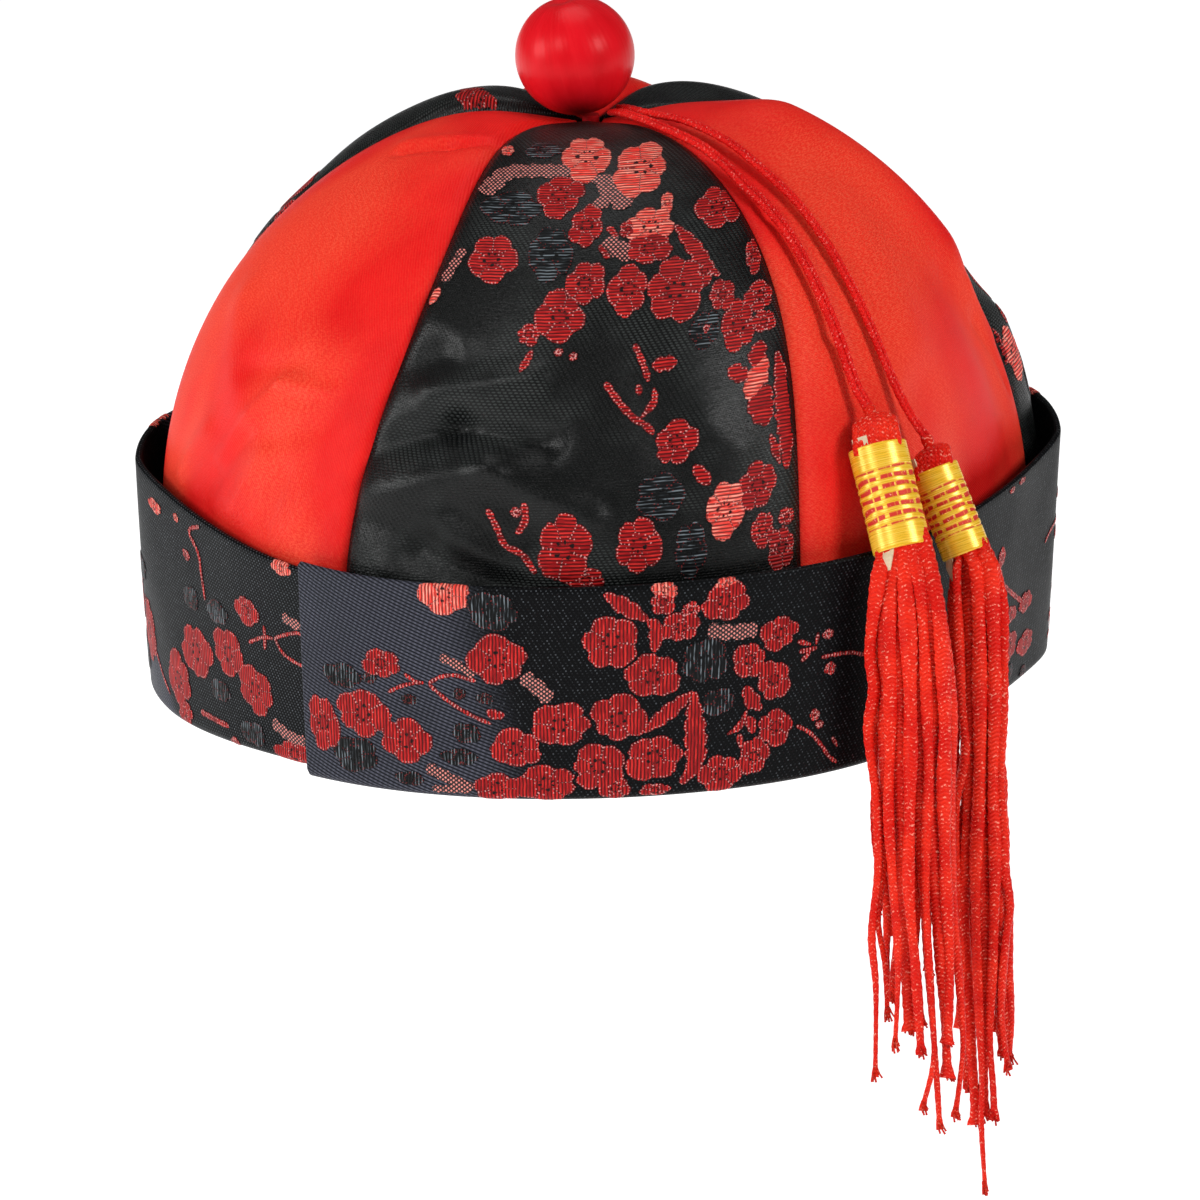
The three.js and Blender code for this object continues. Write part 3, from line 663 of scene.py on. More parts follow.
def make_floats(name, deep, bright, painted_highlight, tie, hollow, tied, highlight_amount):
    """Floats of a motif: parallel threads, tied by small stitches round each petal.

    A blossom has a size, its mean radius, and the rest of the motifs have a size of 0.
    """
    finish = Finish(name, Specular_IOR_Level=0.12)
    across, along = finish.layer("Cloth")
    petal, share = finish.layer("Petal")
    run, edge = finish.layer("Rim")
    radius, size = finish.layer("Spoke")
    blossom = size > 0
    wander = finish.noise(finish.vector(across * 0.3, along * 0.3), 1, 1, 0.5) * 0.5
    thread = threads(across, FLOAT_PITCH, wander)
    tone = finish.noise(finish.vector(across * 1.6, along * 0.2), 1, 2, 0.6)
    fray = finish.noise(finish.vector(across * 1.3, along * 1.3), 1, 2, 0.6)

    # The ground shows between the floats, and more of it at the ragged rim.
    gap = (1 - thread).ramp(0.5, 0.85) * tone.ramp(0.3, 0.46)
    notch = edge + (tone - 0.5) * 2.6
    gap = gap.at_least((1 - notch.ramp(0.1, 0.3)) * (1 - thread * 0.4))

    # Stitches tie the floats down round the rim, between the petals and in a ring.
    width = radius * (TURN / PETALS)
    between = ((petal + 0.5).fraction() - 0.5) * width + (fray - 0.5) * 0.7
    outside = (radius > size * 0.3) * blossom
    ties = stitch(repeat(run, STITCH_SPACING), edge - 0.3, 0.19)
    ties = ties.at_least(stitch(repeat(radius, STITCH_SPACING), between, 0.18) * outside)
    ring = stitch(repeat(petal, 0.5) * width, radius - size * 0.46, 0.17) * blossom
    ties = ties.at_least(ring) * fray.ramp(0.42, 0.52) * tied

    # Each petal has a dark hollow near the middle, and a crevice on either side.
    middle = (petal.fraction() - 0.5) * width
    inwards = radius - size * 0.27
    eye = (middle * middle + inwards * inwards).root() - size * 0.07 + (fray - 0.5) * 1.1
    hollows = (1 - eye.ramp(-0.15, 0.15)) * blossom
    crevice = (1 - between.size().ramp(0.05, 0.26)) * share.ramp(0.15, 0.3) * blossom
    crevice = crevice * fray.ramp(0.35, 0.5)

    dark = hollows.at_least(crevice * 0.85).at_least(gap * 0.8)
    body = finish.mix(tone.ramp(0.3, 0.75), deep, bright)
    # Painted highlight on the crests of the threads.
    body = finish.mix(thread.ramp(0.6, 0.9) * tone.ramp(0.46, 0.6) * highlight_amount, body, painted_highlight)
    body = finish.mix(dark, body, hollow)
    finish.feed("Base Color", finish.mix(ties, body, tie))
    finish.feed("Roughness", tone * 0.25 + 0.3)
    finish.bump(thread * 0.8 + tone * 0.3 - dark * 0.8 + ties * 0.5, 0.13)
    return finish.material


def make_lattice(name, dot, ground):
    """Branches woven as a close lattice of small stitches over the ground."""
    finish = Finish(name, Roughness=0.45, Specular_IOR_Level=0.35)
    across, along = finish.layer("Cloth")
    dots = picks(across, along, 0.62, 0.96, 0.48, 0.25)
    speck = finish.noise(finish.vector(across, along), 1.1, 1, 0.5).ramp(0.25, 0.45)
    finish.feed("Base Color", finish.mix(dots * speck, ground, dot))
    finish.bump(dots, 0.12)
    return finish.material


def make_knit(name, deep, bright, painted_highlight, highlight_amount):
    """Knitted yarn: small slanted stitches that meet in chevrons, with painted shade between them
    and painted glints along the strand.
    """
    finish = Finish(name, Specular_IOR_Level=0.25, Specular_Tint=(1, 0.35, 0.25, 1))
    along, around = finish.layer("Yarn")
    slant = ((around * 4).fraction() - 0.5).size() * 1.2
    loop = ((along / YARN_PITCH + slant) * TURN).sine() * 0.5 + 0.5
    place = finish.place()
    fibre = finish.noise(place, 2.4, 2, 0.6)
    tone = finish.noise(place, 0.12, 2, 0.5)
    glint = finish.noise(place, 1.3, 3, 0.7)
    body = finish.mix(tone.ramp(0.3, 0.7), deep, bright)
    # Painted shade between the rows of stitches.
    body = finish.mix((1 - loop).ramp(0.6, 1) * 0.35, body, (0.45, 0.002, 0.003))
    # Painted glints along the strand.
    body = finish.mix((glint + loop * 0.12).ramp(0.66, 0.74) * highlight_amount, body, painted_highlight)
    finish.feed("Base Color", body)
    finish.feed("Roughness", fibre * 0.3 + 0.2)
    finish.bump(loop * 0.8 + fibre * 0.6, 0.16)
    return finish.material


def make_gold():
    """Flat gold thread, close at both ends and parted over red yarn between, with painted
    highlights.
    """
    finish = Finish("gold_thread", Specular_IOR_Level=0.5, Metallic=0.2)
    along, down = finish.layer("Yarn")
    part, _ = finish.layer("Part")
    streak = finish.noise(finish.vector(along * 0.1, down * 3), 1, 3, 0.6)
    fleck = finish.noise(finish.vector(along * 1.5, down * 0.9), 1, 2, 0.7)
    thread = threads(down, GOLD_PITCH)
    body = finish.mix(streak.ramp(0.2, 0.8), (0.86, 0.42, 0.012), (0.94, 0.6, 0.03))
    # Painted highlight along the streaks of the thread.
    body = finish.mix((streak * thread).ramp(0.35, 0.6) * 0.4, body, (1, 0.84, 0.3))
    column = finish.noise(finish.vector(along * 0.6, 0), 1, 1, 0.5).ramp(0.4, 0.46)
    bare = part * column * (fleck + streak * 0.5).ramp(0.5, 0.62)
    yarn = finish.mix(fleck.ramp(0.62, 0.74), (0.62, 0.02, 0.01), (0.95, 0.45, 0.32))
    finish.feed("Base Color", finish.mix(bare, body, yarn))
    finish.feed("Roughness", streak * 0.16 + bare * 0.3 + 0.2)
    finish.bump(thread * 0.1 + streak * 0.3 - bare, 0.04)
    return finish.material


def make_ball_thread():
    """Fine red thread wound from pole to pole over the bead."""
    finish = Finish("ball_thread", Specular_IOR_Level=0.2, Specular_Tint=(1, 0.2, 0.2, 1),
                    Coat_Weight=0.1, Coat_Roughness=0.3)
    first, second = finish.layer("Wound")
    down, _ = finish.layer("Down")
    fine = finish.noise(finish.vector(first * 15, second * 15, down * 0.5), 1, 3, 0.65)
    band = finish.noise(finish.vector(first * 2.5, second * 2.5, down * 0.8), 1, 2, 0.5)
    body = finish.mix(band.ramp(0.3, 0.7), (0.6, 0.004, 0.009), (0.7, 0.007, 0.014))
    body = finish.mix(fine.ramp(0.5, 0.8) * 0.2, body, (0.88, 0.03, 0.035))
    finish.feed("Base Color", body)
    finish.feed("Roughness", fine * 0.16 + 0.24)
    finish.bump(fine, 0.02)
    return finish.material


def make_card_finish():
    """Pale pulp card, a little mottled."""
    finish = Finish("pale_card", Roughness=0.5, Specular_IOR_Level=0.4)
    fibre = finish.noise(finish.place(), 1.2, 3, 0.6)
    finish.feed("Base Color", finish.mix(fibre, (0.5, 0.36, 0.2), (0.82, 0.68, 0.48)))
    finish.bump(fibre, 0.05)
    return finish.material


def make_floor_finish():
    finish = Finish("pale_floor", Roughness=0.8, Specular_IOR_Level=0.1,
                    Emission_Color=(1, 1, 1, 1), Emission_Strength=0.64)
    speck = finish.noise(finish.place(), 0.02, 2, 0.5)
    finish.feed("Base Color", finish.mix(speck, (0.88, 0.88, 0.88), (0.92, 0.92, 0.92)))
    return finish.material


CORD_KNIT = make_knit(
    "cord_knit", deep=(0.64, 0.005, 0.006), bright=(0.8, 0.012, 0.01), painted_highlight=(1, 0.3, 0.25),
    highlight_amount=0.5,
)
TASSEL_KNIT = make_knit(
    "tassel_knit", deep=(0.66, 0.008, 0.005), bright=(0.84, 0.026, 0.01), painted_highlight=(1, 0.42, 0.3),
    highlight_amount=0.6,
)
GOLD = make_gold()
CARD = make_card_finish()

# ---- Lines and strands ----------------------------------------------------------------

CURVE_STEPS = 12


def curve_through(points, step):
    """Even places, a step apart, along a smooth curve through the points."""
    points = np.asarray(points, float)
    padded = [2 * points[0] - points[1], *points, 2 * points[-1] - points[-2]]
    share = np.linspace(0, 1, CURVE_STEPS, endpoint=False)[:, None]
    parts = []
    for before, start, end, after in zip(padded, padded[1:], padded[2:], padded[3:]):
        bend = 2 * before - 5 * start + 4 * end - after
        twist = 3 * (start - end) + after - before
        parts.append(start + 0.5 * (share * (end - before) + share ** 2 * bend + share ** 3 * twist))
    line = np.concatenate([*parts, points[-1:]])
    travelled = distances(line)
    even = np.linspace(0, travelled[-1], max(4, round(travelled[-1] / step) + 1))
    return np.stack([np.interp(even, travelled, values) for values in line.T], -1)


def distances(line):
    """How far along a line each of its points is."""
    return np.concatenate([[0], np.cumsum(np.linalg.norm(np.diff(line, axis=0), axis=1))])


def frames(line, outwards):
    """The sideways and outward directions along a line, outwards kept near the one given."""
    ahead = unit(np.gradient(line, axis=0))
    side = unit(np.cross(ahead, outwards))
    return side, np.cross(side, ahead)


def add_strand(mesh, line, outwards, half_width, half_depth, sides, offset=0):
    """A knitted strand along a line; its half width and half depth may change along it."""
    side, out = frames(line, outwards)
    travelled = distances(line)
    around = np.arange(sides + 1) / sides
    angle = around * TURN
    beat = ((travelled + offset) / YARN_PITCH * TURN)[:, None]
    swell = 1 + 0.07 * np.sin(beat / 3 + 2 * angle)
    wide = (half_width + 0 * travelled)[:, None] * swell * np.cos(angle)
    deep = (half_depth + 0 * travelled)[:, None] * swell * np.sin(angle)
    points = line[:, None] + side[:, None] * wide[..., None] + out[:, None] * deep[..., None]
    yarn = pairs(travelled[:, None] + offset, around)
    mesh.add(points, grid_faces(len(line), sides + 1), Yarn=yarn)


# ---- Cords ----------------------------------------------------------------------------

CORDS = {
    "cord_1": {
        "width": 2.8,
        "route": [
            (5.6, -6.6, 130.8), (7.4, -10.5, 131.6), (9.9, -15.3, 131.9), (13.5, -20.2, 131.7),
            (18.9, -24.6, 130.2), (24.6, -28.5, 128), (29.2, -32, 124.9), (33.1, -35.7, 121.4),
            (37.3, -39, 117.8), (40.8, -42.1, 114.1), (43.4, -44.6, 110.6),
            (45.8, -47.3, 106.7), (47.9, -49.8, 102.6), (49.9, -52.2, 98.2),
            (51.8, -54.5, 93.7), (53.4, -56.6, 89), (54.9, -58.5, 84.4), (56.4, -60.2, 80.6),
            (58.5, -61.8, 77.2),
        ],
    },
    "cord_2": {
        "width": 2.4,
        "route": [
            (7.4, -2.2, 130.8), (9.4, -6.4, 131.4), (12.2, -11.4, 131.8), (15.8, -15.5, 131.9),
            (20.6, -19.3, 131.7), (26, -22.9, 130.1), (31.3, -26.5, 127.7),
            (36.1, -29.8, 124.2), (40.8, -32.7, 120.3), (45, -35.4, 116.3),
            (48.5, -38.1, 111.9), (51.6, -40.7, 107.5), (54.3, -43, 102.9),
            (56.9, -45.1, 98), (59.3, -47.2, 92.7), (61.5, -49, 87.3), (63.6, -50.6, 81.8),
            (65.9, -52, 76.6), (68.2, -53.2, 72.2), (71.2, -54.6, 67.8),
        ],
    },
}
CROWN_HEART = (0, 0, 40)
CORD_STEP = 0.32
CORD_SIDES = 10


def make_cord(name, width, route):
    """A doubled cord: two knitted strands that lie side by side on the crown."""
    line = curve_through(route, CORD_STEP)
    outwards = unit(line - CROWN_HEART)
    side, _ = frames(line, outwards)
    mesh = Mesh()
    travelled = distances(line)
    thickness = width * 0.27
    for sign in (-1, 1):
        sway = width * (0.24 + 0.02 * np.sin(travelled / 6 + sign))
        strand = line + side * (sign * sway)[:, None]
        add_strand(mesh, strand, outwards, thickness, thickness, CORD_SIDES, offset=sign * 0.4)
    piece = mesh.make(f"{name}_strands", [CORD_KNIT], "red_cord", [name])


for cord_name, cord in CORDS.items():
    make_cord(cord_name, **cord)

# ---- Cloth of the crown and the cuff --------------------------------------------------

RED_SATIN = make_satin()
CROWN_GROUND = make_crown_ground()
CUFF_GROUND = make_cuff_ground()
GORE_COLUMNS = 72
WALL_ROWS = 14
DOME_ROWS = 118
CLOTH_THICKNESS = 1.3
SEAM_TRIM = 0.0006
CUFF_COLUMNS = 440
EDGE_FOOT = 0.4
EDGE_ROWS = 30
EDGE_COLUMNS = 7
BLACK_GORES = ("front", "back_left", "back_right")


def flat_area(cloth, rows, columns):
    """The area of a grid of places on flat cloth, in square millimetres."""
    first, second = cloth.reshape(rows, columns, 2).transpose(2, 0, 1)
    down = np.diff(first, axis=0)[:, :-1] * np.diff(second, axis=1)[:-1]
    across = np.diff(second, axis=0)[:, :-1] * np.diff(first, axis=1)[:-1]
    return float(np.abs(down - across).sum())


def add_shell(mesh, outside, inside, rows, columns, cloth):
    """Adds the two faces of a cloth and joins them along their rims."""
    size = rows * columns
    start = mesh.count
    mesh.add(outside, grid_faces(rows, columns), Cloth=cloth)
    mesh.add(inside, grid_faces(rows, columns, flipped=True), Cloth=cloth)
    bottom = list(range(columns))
    right = [row * columns + columns - 1 for row in range(rows)]
    top = [size - 1 - column for column in range(columns)]
    left = [(rows - 1 - row) * columns for row in range(rows)]
    rim = bottom + right[1:] + top[1:] + left[1:-1]
    joins = [
        [start + first, start + size + first, start + size + second, start + second]
        for first, second in zip(rim, rim[1:] + rim[:1])
    ]
    mesh.faces.extend(joins)
    mesh.slots.extend([0] * len(joins))


def make_gore(gore, finish, record_slot):
    """One gore of the crown as a shell of cloth that follows its folds."""
    wall = np.linspace(0, 1, WALL_ROWS, endpoint=False)
    dome = np.linspace(1, TIP_CLIMB, DOME_ROWS)
    climbs = np.concatenate([wall, dome])[:, None]
    shares = np.linspace(SEAM_TRIM, 1 - SEAM_TRIM, GORE_COLUMNS)[None, :]
    across, up = gore.cloth(shares, climbs)
    cloth = pairs(up, across)
    rows = len(climbs)
    mesh = Mesh()
    outside = gore.point(shares, climbs)
    inside = gore.point(shares, climbs, -CLOTH_THICKNESS)
    add_shell(mesh, outside, inside, rows, GORE_COLUMNS, cloth)
    piece = mesh.make(f"{gore.name}_gore_cloth", [finish], record_slot,
                      [f"crown_gore_{gore.name}"])
    hem_start, hem_end = gore.seams(0)
    flat = (float((hem_end - hem_start) * gore.scale(0)) * MM, float(up.max()) * MM)
    flat_area(cloth, rows, GORE_COLUMNS) * MM * MM


def make_cuff(cuff):
    """The cuff: out from under the crown, up, over its rim and down again inside."""
    climbs = np.concatenate([
        np.linspace(-CUFF_FOOT, 0, 5, endpoint=False),
        np.linspace(0, CUFF_FOLD_RADIUS, 6, endpoint=False),
        np.linspace(CUFF_FOLD_RADIUS, TOP_START, 34, endpoint=False),
        TOP_START + np.linspace(0, EDGE_TURN, 7, endpoint=False),
        TOP_START + EDGE_TURN + np.linspace(0, INNER_WALL, 14),
    ])[:, None]
    along = np.linspace(cuff.first, cuff.last, CUFF_COLUMNS)[None, :]
    faces = grid_faces(len(climbs), CUFF_COLUMNS)
    mesh = Mesh()
    mesh.add(cuff.point(along, climbs), faces, Cloth=pairs(along, climbs))

    # The lap's upright edge is turned in, like the rim.
    edge_climbs = np.linspace(EDGE_FOOT, TOP_START, EDGE_ROWS)[:, None]
    turn = np.linspace(0, math.pi, EDGE_COLUMNS)[None, :]
    edge_along = cuff.first - CUFF_EDGE_RADIUS * np.sin(turn)
    edge_lift = CUFF_EDGE_RADIUS * (np.cos(turn) - 1)
    edge = cuff.point(edge_along, edge_climbs, edge_lift)
    edge_faces = grid_faces(EDGE_ROWS, EDGE_COLUMNS, flipped=True)
    mesh.add(edge, edge_faces, Cloth=pairs(edge_along, edge_climbs))
    piece = mesh.make("turned_up_cuff", [CUFF_GROUND], "cuff_brocade", ["cuff"])


CUFF = Cuff()
CROWN = {name: Gore(name) for name in GORES}
for gore_name, gore in CROWN.items():
    if gore_name in BLACK_GORES:
        make_gore(gore, CROWN_GROUND, "black_brocade")
    else:
        make_gore(gore, RED_SATIN, "red_satin")
make_cuff(CUFF)

# ---- Motifs of the brocade ------------------------------------------------------------

MOTIF_FINISHES = {
    "red": make_floats(
        "red_floats", deep=(0.26, 0.004, 0.006), bright=(0.56, 0.012, 0.013),
        painted_highlight=(0.74, 0.04, 0.03), tie=(0.86, 0.36, 0.34), hollow=(0.006, 0.002, 0.002),
        tied=0.8, highlight_amount=0.5,
    ),
    # lit: the red floats in lighter colours, a painted highlight where light falls on them.
    "lit": make_floats(
        "lit_floats", deep=(0.85, 0.035, 0.025), bright=(1, 0.2, 0.15),
        painted_highlight=(1, 0.42, 0.32), tie=(1, 0.55, 0.48), hollow=(0.015, 0.004, 0.005),
        tied=0.4, highlight_amount=0.8,
    ),
    "dark": make_floats(
        "dark_floats", deep=(0.001, 0.0015, 0.002), bright=(0.012, 0.015, 0.018),
        painted_highlight=(0.16, 0.19, 0.21), tie=(0.3, 0.03, 0.03), hollow=(0.001, 0.001, 0.001),
        tied=0.5, highlight_amount=1,
    ),
    "mesh": make_lattice("stitched_branch", (0.82, 0.26, 0.22), (0.012, 0.004, 0.005)),
}
PATCH_LIFT = 0.07
PATCH_STEP = 0.006
PATCH_LAYERS = 9
PATCH_PLUMP = 0.12
PLUMP_REACH = 0.9
BLOSSOM_RINGS = (0.002, 0.2, 0.4, 0.6, 0.8, 0.93, 1)
BLOSSOM_POINTS = 60
STRIP_STEP = 0.8
STRIP_COLUMNS = 5
BLUNT_WIDTH = 1.6


class Weave:
    """Motifs woven into one panel, as thin patches that follow its cloth.

    Their floats run up the cloth where upright is true, and across it elsewhere.
    """

    def __init__(self, surface, upright, seed):
        self.surface = surface
        self.upright = upright
        self.mesh = Mesh()
        self.chance = random.Random(seed)
        self.count = 0

    def patch(self, across, up, kind, petal, rim, spoke):
        """Adds a grid of places on the flat cloth; its middle stands a little higher."""
        self.count += 1
        plump = PATCH_PLUMP * np.clip(rim[..., 1] / PLUMP_REACH, 0, 1) ** 0.5
        lift = PATCH_LIFT + PATCH_STEP * (self.count % PATCH_LAYERS) + plump
        points, inside = self.surface.on_cloth(across, up, lift)
        held = inside.ravel()
        faces = [face for face in grid_faces(*across.shape) if held[face].all()]
        cloth = np.stack((across, up) if self.upright else (up, across), -1)
        slot = list(MOTIF_FINISHES).index(kind)
        self.mesh.add(points, faces, slot, Cloth=cloth, Petal=petal, Rim=rim, Spoke=spoke)

    def blossom(self, across, up, width, height, kind):
        """A plum blossom of five petals."""
        chance = self.chance
        angle = np.linspace(0, TURN, BLOSSOM_POINTS + 1)
        petal = PETALS * angle / TURN
        notch = np.abs(petal % 1 - 0.5) * 2
        lengths = np.array([chance.uniform(0.86, 1.1) for _ in range(PETALS)])
        ragged = np.array([chance.uniform(-0.035, 0.035) for _ in range(BLOSSOM_POINTS)])
        reach = lengths[np.floor(petal).astype(int) % PETALS] * (1 - 0.2 * notch ** 3)
        smooth = np.convolve(np.tile(reach[:-1], 3), (0.25, 0.5, 0.25), "same")
        reach = smooth[BLOSSOM_POINTS:2 * BLOSSOM_POINTS] + ragged
        reach = np.append(reach, reach[0])
        turned = angle + 0.25 * np.sin(angle + chance.uniform(0, TURN)) + chance.uniform(0, TURN)
        x = 0.5 * width * reach * np.sin(turned)
        y = 0.5 * height * reach * np.cos(turned)
        radius = np.hypot(x, y)
        run = distances(np.stack([x, y], -1))
        run = run / run[-1] * max(8, round(run[-1] / STITCH_SPACING)) * STITCH_SPACING
        share = np.array(BLOSSOM_RINGS)[:, None]
        rim = pairs(run, (1 - share) * radius)
        spoke = pairs(share * radius, radius.mean())
        self.patch(across + x * share, up + y * share, kind, pairs(petal, share), rim, spoke)

    def strip(self, places, width, kind, blunt):
        """A leaf, twig or branch along a line, which narrows to blunt or pointed ends."""
        line = curve_through([(*place, 0) for place in places], STRIP_STEP)[:, :2]
        ahead = unit(np.gradient(line, axis=0))
        run = distances(line)
        share = run / run[-1]
        if blunt:
            taper = np.minimum(1, 9 * np.minimum(share, 1 - share) + 0.5)
        else:
            taper = np.sin(math.pi * (0.04 + 0.92 * share)) ** 0.75
        half = 0.5 * width * taper * (1 + 0.14 * np.sin(run * 1.9) + 0.1 * np.sin(run * 4.3))
        over = np.linspace(-1, 1, STRIP_COLUMNS)[None, :]
        x = line[:, :1] - ahead[:, 1:] * half[:, None] * over
        y = line[:, 1:] + ahead[:, :1] * half[:, None] * over
        rim = pairs(run[:, None], half[:, None] * (1 - np.abs(over)))
        petals = np.full((*x.shape, 2), 0.5)
        spoke = np.broadcast_to((50, 0), (*x.shape, 2))
        self.patch(x, y, kind, petals, rim, spoke)

    def chart(self, blossoms, strips, shift=(0, 0), mirror=1, top=math.inf):
        """Weaves in a chart up to a height, moved along the cloth and mirrored where asked."""
        for kind, rows in blossoms.items():
            for across, up, width, height in rows:
                if up + shift[1] < top:
                    self.blossom(mirror * across + shift[0], up + shift[1], width, height, kind)
        for kind, width, places in strips:
            moved = [(mirror * across + shift[0], up + shift[1]) for across, up in places]
            if moved[0][1] < top:
                self.strip(moved, width, kind, kind == "mesh" or width < BLUNT_WIDTH)

    def make(self, name, record_slot):
        self.mesh.make(name, list(MOTIF_FINISHES.values()), record_slot)


# Each blossom: across, up, width, height.  Each strip: kind, width, places (across, up).
FRONT_BLOSSOMS = {
    "lit": [
        (-1.7, 147, 9.4, 18), (9.3, 142, 12, 20.4), (12, 123.6, 10, 11), (15, 130, 2.8, 7.6),
        (-18.4, 150, 3.4, 5), (31, 57.5, 8.6, 12.8),
    ],
    "red": [
        (-6.5, 134, 9.8, 13.4), (-0.8, 125, 7.2, 12), (-19.3, 115.8, 10.6, 13.4),
        (-0.1, 109.8, 8, 12.2), (8.5, 107.8, 8.2, 13.4), (18.1, 106.8, 12, 16),
        (-4.3, 101.8, 9.6, 12.8), (12, 117.8, 9, 8.6), (7.4, 123.4, 4, 5.4),
        (26.4, 127, 11, 13), (35.2, 113, 4.6, 9), (36.7, 103, 7.6, 7.6), (37.8, 96.8, 6.4, 5.4),
        (31.9, 96.8, 7.4, 12), (23.8, 110.8, 4.8, 7.8), (28, 104.4, 6.4, 8.2),
        (-10.2, 97.8, 5, 5.6), (-4, 93.6, 1.8, 2), (-1, 92.6, 1.8, 2), (20.6, 73, 9.8, 10.8),
        (38, 61.6, 8.8, 11.6), (39.2, 52, 5.2, 8.4), (44.6, 54, 4, 4), (43.5, 47.6, 6.6, 10.4),
        (-0.7, 51, 11.2, 15.4), (3.6, 44.6, 7, 5), (13.9, 51.6, 9, 12.8), (-10.4, 59, 2.6, 2.2),
        (25, 97, 2.4, 3),
    ],
    "dark": [
        (-16.3, 130, 13.6, 11), (-7.6, 117.4, 9, 16.6), (-10.5, 150, 8, 8), (24.7, 96.6, 7, 10),
        (18.4, 61.6, 10.4, 11), (24.5, 50, 7.4, 13),
    ],
}
FRONT_STRIPS = [
    ("mesh", 4.6, [(-22.8, 134.4), (-20.4, 138), (-16.8, 141.8), (-7, 142), (-4.8, 142)]),
    ("mesh", 4, [(1, 140), (3.4, 135), (6.8, 129.4)]),
    ("mesh", 3, [(3.4, 135), (1.2, 129.8)]),
    ("mesh", 4, [(3, 120.8), (8.8, 115.8)]),
    ("red", 1.4, [(3.4, 124.4), (5.4, 121.4)]),
    ("red", 1.4, [(2.2, 119.4), (4, 115.8)]),
    ("mesh", 2.2, [(-25.6, 118.4), (-28.4, 111.8), (-29.2, 109.6)]),
    ("lit", 2.2, [(-30, 108.2), (-31.8, 103.8)]),
    ("red", 1.8, [(-9.2, 94.2), (-11, 88.6)]),
    ("red", 1.3, [(10.8, 95.2), (12.2, 92), (13.4, 89), (14.2, 86.6)]),
    ("red", 3.8, [(14.6, 90), (19.6, 90.2)]),
    ("red", 1.3, [(12.2, 86), (12.6, 83.6)]),
    ("red", 1.7, [(15.4, 85), (15.6, 82), (13.2, 78.6)]),
    ("red", 1.5, [(5.6, 86.6), (8.8, 82), (11.8, 78.6), (14.2, 77), (16, 75)]),
    ("red", 3, [(24.6, 67.6), (27.8, 63)]),
    ("red", 1.4, [(-16.2, 59.6), (-14.2, 55.4), (-12.8, 52), (-9.2, 50), (-6.4, 46)]),
    ("red", 1.5, [(-8.8, 61), (-8.6, 57.4), (-10.2, 54.4)]),
    ("red", 3.6, [(17, 123.4), (20.4, 118.4), (24.4, 111.8), (27.2, 109.2)]),
    ("red", 4, [(30.4, 87.6), (34.6, 84.6)]),
    ("lit", 5, [(38.6, 88.6), (34.8, 80.2)]),
    ("red", 6, [(39.4, 82.6), (38, 78.6), (39.4, 74)]),
    ("red", 4.6, [(41.2, 89.6), (42.8, 82), (44, 73), (44.4, 64)]),
    ("red", 2, [(40.4, 72), (42.8, 65.4)]),
    ("red", 4.4, [(37.4, 92.6), (36, 87)]),
]
CUFF_BLOSSOMS = {
    "lit": [(-34.4, 46, 12, 9.4), (13, 46.6, 6, 4), (26.4, 46.4, 6, 4)],
    "red": [
        (-65.8, 13.6, 9.4, 13), (-54.8, 17.4, 14, 11), (-44.2, 12.4, 13.4, 10.8),
        (-49.6, 29.2, 10.2, 7.2), (-22.8, 32, 14, 11.8), (-19, 12, 12, 9.6),
        (-9.4, 17.4, 15.2, 11.2), (-12.4, 4.2, 14.4, 9), (-23.4, 3, 11.4, 7),
        (-1, 8, 12, 10.4), (1.6, 36, 12.2, 12.2), (10.4, 27.6, 13.6, 10.8),
        (3.2, 18.4, 12, 11.2), (11, 9.4, 13.8, 11.4), (26, 4.4, 10.6, 8.8), (33.4, 7.4, 7.2, 8.6),
        (38.4, 13.4, 9, 8.6), (31.8, 29.2, 8.4, 8.8), (37.6, 24, 9, 9.8), (38.6, 34.2, 9, 8),
        (26, 43, 10.4, 9), (18.6, 41.8, 4.6, 3.6), (16.4, 38, 8.8, 7), (12.6, 44, 5.8, 6),
        (2.6, 3, 6.8, 6), (11.4, 2, 7.4, 3.4), (50.6, 32, 3.2, 2.6), (51.4, 24.2, 3.4, 3),
        (48, 14.4, 2.8, 2.8), (49.2, 12, 2.2, 2.2),
    ],
    "dark": [
        (-23.8, 42.4, 11.4, 9.4), (-60, 25, 11.4, 6.2), (-57.2, 7.6, 13.6, 8.4), (-30, 15, 7, 5),
        (-31.6, 9.6, 9.2, 4.2), (-43.2, 21.6, 4.2, 2.6), (-31.4, 23.8, 3.4, 3),
        (-25.8, 23, 4, 2.8), (-52.8, 25.4, 3.6, 3), (-43.6, 3.8, 7.6, 3.4), (21.8, 30, 10.4, 10.4),
        (25.4, 20.6, 8, 6.4),
    ],
}
